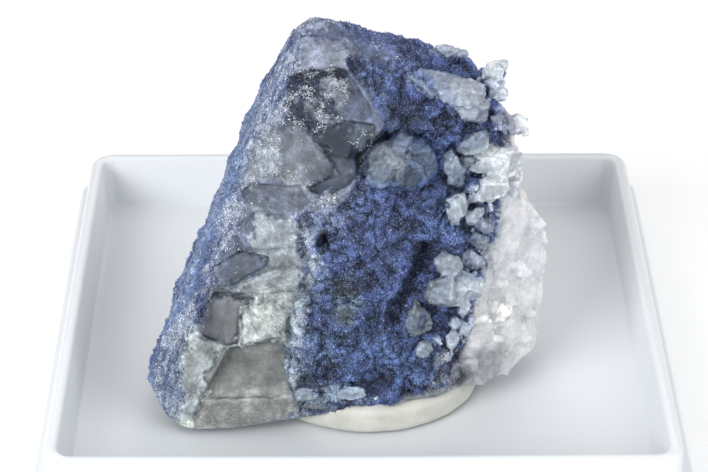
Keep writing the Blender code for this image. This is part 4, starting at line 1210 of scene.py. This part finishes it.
def buildNeedles(name, weight, seed, material):
    # a mat of needles over the skin, denser where the weight is higher, each toned like the crust below
    chance = np.random.RandomState(seed)
    s = needleSettings
    count = s["perPiece"]
    points = meshArrays(rockSkin.data)[0]
    place, normal, corner = scatterOn(points, skinTriangles(rockSkin), weight, count, chance)
    felt = rockData["felt"][corner] * rockData["front"][corner]
    flow = np.column_stack([noiseOf(place, 1.4, shift) for shift in (11.0, 23.0, 37.0)])
    rise = chance.uniform(0.0, 0.06, count) + felt * chance.uniform(0.0, 0.9, count)
    strip = rockData["strip"][corner]
    along = np.array(rockSettings["rimSlope"]) * (chance.choice([-1, 1], count) * strip)[:, None]
    direction = flow * 0.8 + along + chance.normal(0, 0.45, (count, 3))
    flat = (direction * normal).sum(1) * (0.75 * (1 - felt))
    direction = direction - normal * flat[:, None] + normal * rise[:, None]
    below = np.minimum((direction * normal).sum(1) - 0.06, 0)
    direction = unit(direction - normal * (below * 1.6)[:, None])
    length = chance.uniform(*s["feltLength"], count) * felt
    length = length + chance.uniform(*s["stripLength"], count) * (1 - felt)
    halfWidth = chance.uniform(*s["halfWidth"], count) * mm
    place = place + normal * 0.01 * mm - direction * s["sink"] * mm
    tips, faces = spires(place, direction, length * mm, halfWidth)
    obj = meshFromArrays(name, tips, faces)
    spread = s["toneSpread"] * (0.6 + 0.4 * felt)
    tone = np.exp(chance.normal(0, 1, count) * spread - 0.4 * spread ** 2)
    hue = 1 + (np.array(s["hue"]) - 1) * rockData["felt"][corner][:, None]
    colour = rockData["tint"][corner] * tone[:, None] * hue
    # painted glint: the brightest needles are mixed towards a pale tone
    lit = (np.clip(tone - 1.1, 0, 1) * 0.45)[:, None]
    colour = colour * (1 - lit) + np.array(linear(s["litTone"])) * lit
    onGrains = rockData["grains"][corner] * rockData["broken"][corner]
    pale = chance.random(count) < s["paleShare"] + 0.15 * onGrains
    colour[pale] = colour[pale] * 0.5 + np.array(linear(s["paleTone"])) * 0.5
    setPointData(obj.data, "tint", np.clip(np.repeat(colour * 1.06, 4, axis=0), 0, 0.9))
    settle(obj, name, material)
    keep(obj, "rock")
    return obj


def buildFootNeedles(material):
    # needles creeping over the feet of the larger crystals, which hide where they leave the crust
    chance = np.random.RandomState(9)
    s = needleSettings
    count = s["footCount"]
    parts = []
    for name in ("milkyCrystals", "clearCrystals"):
        crystal = bpy.data.objects[name]
        points = meshArrays(crystal.data)[0]
        px = photoPixels(points)[0]
        under = np.array([rockTree.find_nearest(Vector(p))[3] for p in points.tolist()]) / mm
        ragged = 0.18 + 0.22 * noiseOf(points, 0.7, 15)
        weight = np.clip((ragged - under) / 0.08, 0, 1) * (px < s["footEnd"])
        parts.append(scatterOn(points, skinTriangles(crystal), weight, count // 2, chance)[:2])
    place, normal = (np.concatenate(pair) for pair in zip(*parts))
    rise = chance.uniform(0.1, 0.9, (len(place), 1))
    direction = unit(normal * rise + chance.normal(0, 0.5, place.shape))
    length = chance.uniform(*s["feltLength"], len(place)) * mm
    halfWidth = chance.uniform(*s["halfWidth"], len(place)) * mm
    tips, faces = spires(place - direction * 0.05 * mm, direction, length, halfWidth)
    obj = meshFromArrays("needlesOnCrystals", tips, faces)
    colour = np.array(linear(s["footTone"])) * np.exp(chance.normal(-0.2, 0.6, (len(place), 1)))
    setPointData(obj.data, "tint", np.clip(np.repeat(colour, 4, axis=0), 0, 0.9))
    settle(obj, "needlesOnCrystals", material)
    keep(obj, "rock")


def buildFelt():
    finish = needleMaterial()
    points, normals = meshArrays(rockSkin.data)
    upper = np.clip((points[:, 2] / mm - needleSettings["upperFrom"]) / 2, 0, 1)
    onFront = rockData["felt"] * rockData["front"] * np.clip(1 + (normals[:, 2] + 0.25) * 3, 0.1, 1)
    rim = rockData["strip"] * 0.4 * (1 - rockData["flank"])
    rim = rim + rockData["broken"] * np.clip(rockData["grains"] - 0.5, 0, 1) * 0.4
    buildNeedles("needlesLower", onFront * (1 - upper), 5, finish)
    buildNeedles("needlesUpper", onFront * upper + rim * 0.5, 6, finish)
    hanging = np.clip((-normals[:, 2] - 0.3) / 0.3, 0, 1)
    behind = rockData["felt"] * (1 - rockData["front"]) * (1 - hanging)
    buildNeedles("needlesBehind", behind + rim, 7, finish)
    buildFootNeedles(finish)


buildFelt()
print("needles grown")


# Druse: the white quartz end, crowded with small six-sided crystals half sunk in each other.

druseSettings = {
    "lean": 0.5,
    "druseCount": 260,
    "druseLength": (0.3, 0.7),       # mm
    "druseRadius": (0.12, 0.34),
    "borderCount": 210,
    "borderLength": (0.35, 0.95),
    "borderRadius": (0.12, 0.34),
    "borderFoot": 366,               # photograph pixel below which none grow
    "borderTone": "#A9B5C8",
    "grainCount": 2500,
    "grainSize": ((0.04, 0.24), (0.02, 0.08), (0.01, 0.03)),   # mm, half sizes
    "grainTone": "#D2D9E4",
    "fleckCount": 9000,
    "fleckLength": (0.06, 0.28),
    "fleckWidth": (0.02, 0.06),
    "fleckThickness": 0.02,
    "fleckPale": "#CFD8E6",
    "fleckBlue": "#566892",
}


def scatterCrystals(name, weight, count, lengths, radii, sunk, tip, ownTone, material, seed):
    # small crystals that lean a little, toned like the skin below or with a tone of their own
    chance = np.random.RandomState(seed)
    points = meshArrays(rockSkin.data)[0]
    place, normal, corner = scatterOn(points, skinTriangles(rockSkin), weight, count, chance)
    direction = unit(normal + chance.normal(0, druseSettings["lean"], (count, 3)))
    radius = chance.uniform(*radii, count) * mm
    length = np.maximum(chance.uniform(*lengths, count) * mm, radius * 1.5)
    place = place - normal * (length * sunk)[:, None]
    tips, faces = sixSided(place, direction, length, radius, tip, chance)
    obj = meshFromArrays(name, tips, faces)
    tint = rockData["tint"][corner] * chance.uniform(0.88, 1.10, (count, 1))
    if ownTone:
        tint = np.array(linear(ownTone)) * chance.uniform(0.75, 1.3, (count, 1))
    setPointData(obj.data, "tint", np.clip(np.repeat(tint, 13, axis=0), 0, 0.95))
    settle(obj, name, material)
    keep(obj, "rock")


def druseMaterial():
    # drusy milky quartz, IOR 1.544: pinkish white, glassy faces over a body that lets little light through
    material, tree, shader = newMaterial("drusyQuartz", {"IOR": 1.544, "Roughness": 0.18})
    tint = addNode(tree, "ShaderNodeAttribute", attribute_name="tint").outputs["Color"]
    tree.links.new(tint, shader.inputs["Base Color"])
    return material


def buildDruse():
    s = druseSettings
    inner = np.clip(pixelsInside(rockData["plainPx"], rockData["plainPy"], druseEdge) / 3 - 1, 0, 1)
    scatterCrystals("druseCrystals", rockData["druse"] * inner, s["druseCount"], s["druseLength"],
                    s["druseRadius"], 0.78, 0.55, None, druseMaterial(), 21)
    px, py = rockData["px"], rockData["py"]
    border = np.clip(1 + pixelsInside(px, py, druseOutline) / 42, 0, 1) ** 1.5 * (1 - rockData["druse"])
    border = border * rockData["front"] * np.clip((s["borderFoot"] - py) / 20, 0, 1)
    border = border * np.clip(0.3 + 2 * noiseOf(meshArrays(rockSkin.data)[0], 1.6, 51), 0, 1)
    scatterCrystals("borderCrystals", border, s["borderCount"], s["borderLength"], s["borderRadius"],
                    0.5, 0.9, s["borderTone"], bpy.data.materials["milkyQuartz"], 22)


def glitterMaterial():
    # clean faces of crushed quartz, IOR 1.544, that throw the light straight back
    material, tree, shader = newMaterial("quartzGlitter", {"IOR": 1.544, "Roughness": 0.12})
    tint = addNode(tree, "ShaderNodeAttribute", attribute_name="tint").outputs["Color"]
    tree.links.new(tint, shader.inputs["Base Color"])
    return material


def buildPlates(name, place, axes, sizes, tint, material):
    # an eight-faced grain at each place, with its half sizes along three axes
    count = len(place)
    corners = np.empty((count, 6, 3))
    for n, axis in enumerate(axes):
        corners[:, 2 * n] = place + axis * sizes[:, n:n + 1]
        corners[:, 2 * n + 1] = place - axis * sizes[:, n:n + 1]
    one = np.array([(0, 2, 4), (2, 1, 4), (1, 3, 4), (3, 0, 4), (2, 0, 5), (1, 2, 5), (3, 1, 5), (0, 3, 5)])
    faces = (np.arange(count)[:, None, None] * 6 + one[None]).reshape(-1, 3)
    plates = meshFromArrays(name, corners.reshape(-1, 3), faces)
    setPointData(plates.data, "tint", np.clip(np.repeat(tint, 6, axis=0), 0, 0.95))
    settle(plates, name, material)
    keep(plates, "rock")


def buildGrains():
    # crushed quartz where the break glitters, in clusters, and bright flecks lying flat along the left rim
    chance = np.random.RandomState(31)
    s = druseSettings
    material = glitterMaterial()
    points = meshArrays(rockSkin.data)[0]
    cluster = np.clip(0.05 + 2.6 * noiseOf(points, 1.0, 83), 0, 1)
    calm = 1 - rockData["strip"]
    weight = rockData["broken"] * calm * rockData["grains"] ** 3 * cluster
    weight = rockData["front"] * (weight + 0.03 * rockData["felt"] * rockData["grains"])
    count = s["grainCount"]
    place = scatterOn(points, skinTriangles(rockSkin), weight, count, chance)[0]
    axisA = unit(chance.normal(0, 1, (count, 3)))
    axisB = unit(np.cross(axisA, unit(chance.normal(0, 1, (count, 3)))))
    sizes = np.column_stack([chance.uniform(*size, count) for size in s["grainSize"]]) * mm
    tint = np.array(linear(s["grainTone"])) * np.exp(chance.normal(-0.1, 0.35, (count, 1)))
    buildPlates("quartzGrains", place, (axisA, axisB, np.cross(axisA, axisB)), sizes, tint, material)
    count = s["fleckCount"]
    weight = rockData["strip"] * (1 - 0.8 * rockData["flank"]) * (0.25 + rockData["frost"])
    place, normal, corner = scatterOn(points, skinTriangles(rockSkin), weight, count, chance)
    along = np.array(rockSettings["rimSlope"]) + chance.normal(0, 0.35, (count, 3))
    along = unit(along - normal * (along * normal).sum(1)[:, None])
    sizes = np.column_stack([
        chance.uniform(*s["fleckLength"], count),
        chance.uniform(*s["fleckWidth"], count),
        np.full(count, s["fleckThickness"]),
    ]) * mm
    pale = (chance.random(count) < 0.15 + 0.6 * rockData["frost"][corner])[:, None]
    tint = np.where(pale, linear(s["fleckPale"]), linear(s["fleckBlue"]))
    tint = tint * np.exp(chance.normal(-0.1, 0.3, (count, 1)))
    buildPlates("rimFlecks", place, (along, np.cross(normal, along), normal), sizes, tint, material)


buildDruse()
buildGrains()
print("druse and grains grown")


# Box base: moulded white polystyrene, from the solid, with its round corners shaded smooth.

def plasticMaterial():
    # injection-moulded polystyrene (IOR 1.59): bright white with a soft satin shine and faint flow marks
    material, tree, shader = newMaterial("whitePolystyrene", {"IOR": 1.59, "Base Color": "#DDE1E5"})
    place = addNode(tree, "ShaderNodeTexCoord").outputs["Object"]
    flow = addNode(tree, "ShaderNodeTexNoise", {"Vector": place, "Scale": 1 / (14 * mm), "Detail": 3.0})
    rough = addNode(tree, "ShaderNodeMapRange", {
        "Value": flow.outputs["Fac"], "To Min": 0.30, "To Max": 0.46,
    })
    tree.links.new(rough.outputs["Result"], shader.inputs["Roughness"])
    skinGrain = addNode(tree, "ShaderNodeTexNoise", {"Vector": place, "Scale": 1 / (0.5 * mm), "Detail": 2.0})
    bump = addNode(tree, "ShaderNodeBump", {
        "Height": skinGrain.outputs["Fac"], "Strength": 0.12, "Distance": 0.05 * mm,
    })
    tree.links.new(bump.outputs["Normal"], shader.inputs["Normal"])
    return material


def buildBoxBase():
    base = copyOfNode("display_box_base", "boxBase")
    bpy.ops.object.shade_smooth_by_angle(angle=math.radians(40))
    settle(base, "boxBase", plasticMaterial())
    keep(base, "white_plastic", "display_box_base")


buildBoxBase()
print("box base ready")


# Putty: a ball of soft putty pressed flat under the rock.

puttySettings = {
    "centre": (0.6, -5.9),   # mm
    "radius": 10.2,
    "foot": 1.82,
    "top": 5.2,
    "segments": 160,
    "rings": 40,
    "shoulder": 3.2,         # 2 is an ellipse, more is squarer
    "pressedShoulder": 9.0,
    "dent": 0.22,
    "smallDent": 0.10,
    "creases": 18,
    "creaseDepth": 0.12,
}


def puttyMaterial():
    # mineral mounting putty: off-white, dull and faintly greasy, with pressed-in dust
    material, tree, shader = newMaterial("mountingPutty", {"IOR": 1.48, "Roughness": 0.62})
    place = addNode(tree, "ShaderNodeTexCoord").outputs["Object"]
    cloud = addNode(tree, "ShaderNodeTexNoise", {"Vector": place, "Scale": 1 / (2.5 * mm), "Detail": 4.0})
    colour = addNode(tree, "ShaderNodeValToRGB", {"Fac": cloud.outputs["Fac"]},
                     stops=[(0.3, "#BEBEB6"), (0.7, "#D2D2CA")]).outputs["Color"]
    tree.links.new(colour, shader.inputs["Base Color"])
    pits = addNode(tree, "ShaderNodeTexNoise", {"Vector": place, "Scale": 1 / (0.6 * mm), "Detail": 4.0})
    bump = addNode(tree, "ShaderNodeBump", {
        "Height": pits.outputs["Fac"], "Strength": 0.35, "Distance": 0.12 * mm,
    })
    tree.links.new(bump.outputs["Normal"], shader.inputs["Normal"])
    return material


def buildPutty():
    clearSelection()
    s = puttySettings
    middle = (s["foot"] + s["top"]) / 2
    bpy.ops.mesh.primitive_uv_sphere_add(
        segments=s["segments"], ring_count=s["rings"], radius=s["radius"] * mm,
        location=(s["centre"][0] * mm, s["centre"][1] * mm, middle * mm),
    )
    putty = bpy.context.object
    selectOnly(putty)
    bpy.ops.object.mode_set(mode="EDIT")
    bpy.ops.mesh.select_all(action="SELECT")
    bpy.ops.transform.resize(value=(1, 1, (s["top"] - s["foot"]) / (2 * s["radius"])))
    bpy.ops.object.mode_set(mode="OBJECT")
    bpy.ops.object.transform_apply(location=True, rotation=True, scale=True)
    points = meshArrays(putty.data)[0]
    centre = np.array([s["centre"][0], s["centre"][1], middle]) * mm
    local = (points - centre) / mm
    half = (s["top"] - s["foot"]) / 2
    reach = np.hypot(local[:, 0], local[:, 1]) / s["radius"]
    level = local[:, 2] / half
    # squarer shoulders than an ellipse, and squarer still where it is pressed on the floor
    power = np.where(level > 0, s["shoulder"], s["pressedShoulder"])
    swell = (np.abs(reach) ** power + np.abs(level) ** power) ** (-1 / power)
    local *= np.minimum(swell, 1.35)[:, None]
    angle = np.arctan2(local[:, 1], local[:, 0])
    dents = s["dent"] * noiseOf(points, 5.0, 3) + s["smallDent"] * noiseOf(points, 1.6, 8)
    fromCrease = np.mod(angle * s["creases"] / (2 * math.pi) + 0.4 * level, 1.0) - 0.5
    crease = s["creaseDepth"] * np.exp(-(fromCrease / 0.06) ** 2)
    out = np.hypot(local[:, 0], local[:, 1])
    grow = 1 + (dents - crease * (level > 0)) * (out / s["radius"]) / s["radius"]
    local[:, :2] *= grow[:, None]
    local[:, 2] = np.clip(local[:, 2], -half, half)
    putty.data.vertices.foreach_set("co", (centre + local * mm).ravel())
    putty.data.update()
    bpy.ops.object.shade_smooth()
    settle(putty, "pressedPutty", puttyMaterial())
    keep(putty, "putty", "mounting_putty")


buildPutty()
print("putty pressed")


def thinSkin():
    # the skin has served as the ground of needles and crystals, so the flattest of its faces can go
    thin = rockSkin.modifiers.new("thin", "DECIMATE")
    thin.ratio = rockSettings["keptFaces"]
    selectOnly(rockSkin)
    bpy.ops.object.modifier_apply(modifier=thin.name)


thinSkin()
print("rock skin thinned to", len(rockSkin.data.polygons), "faces")
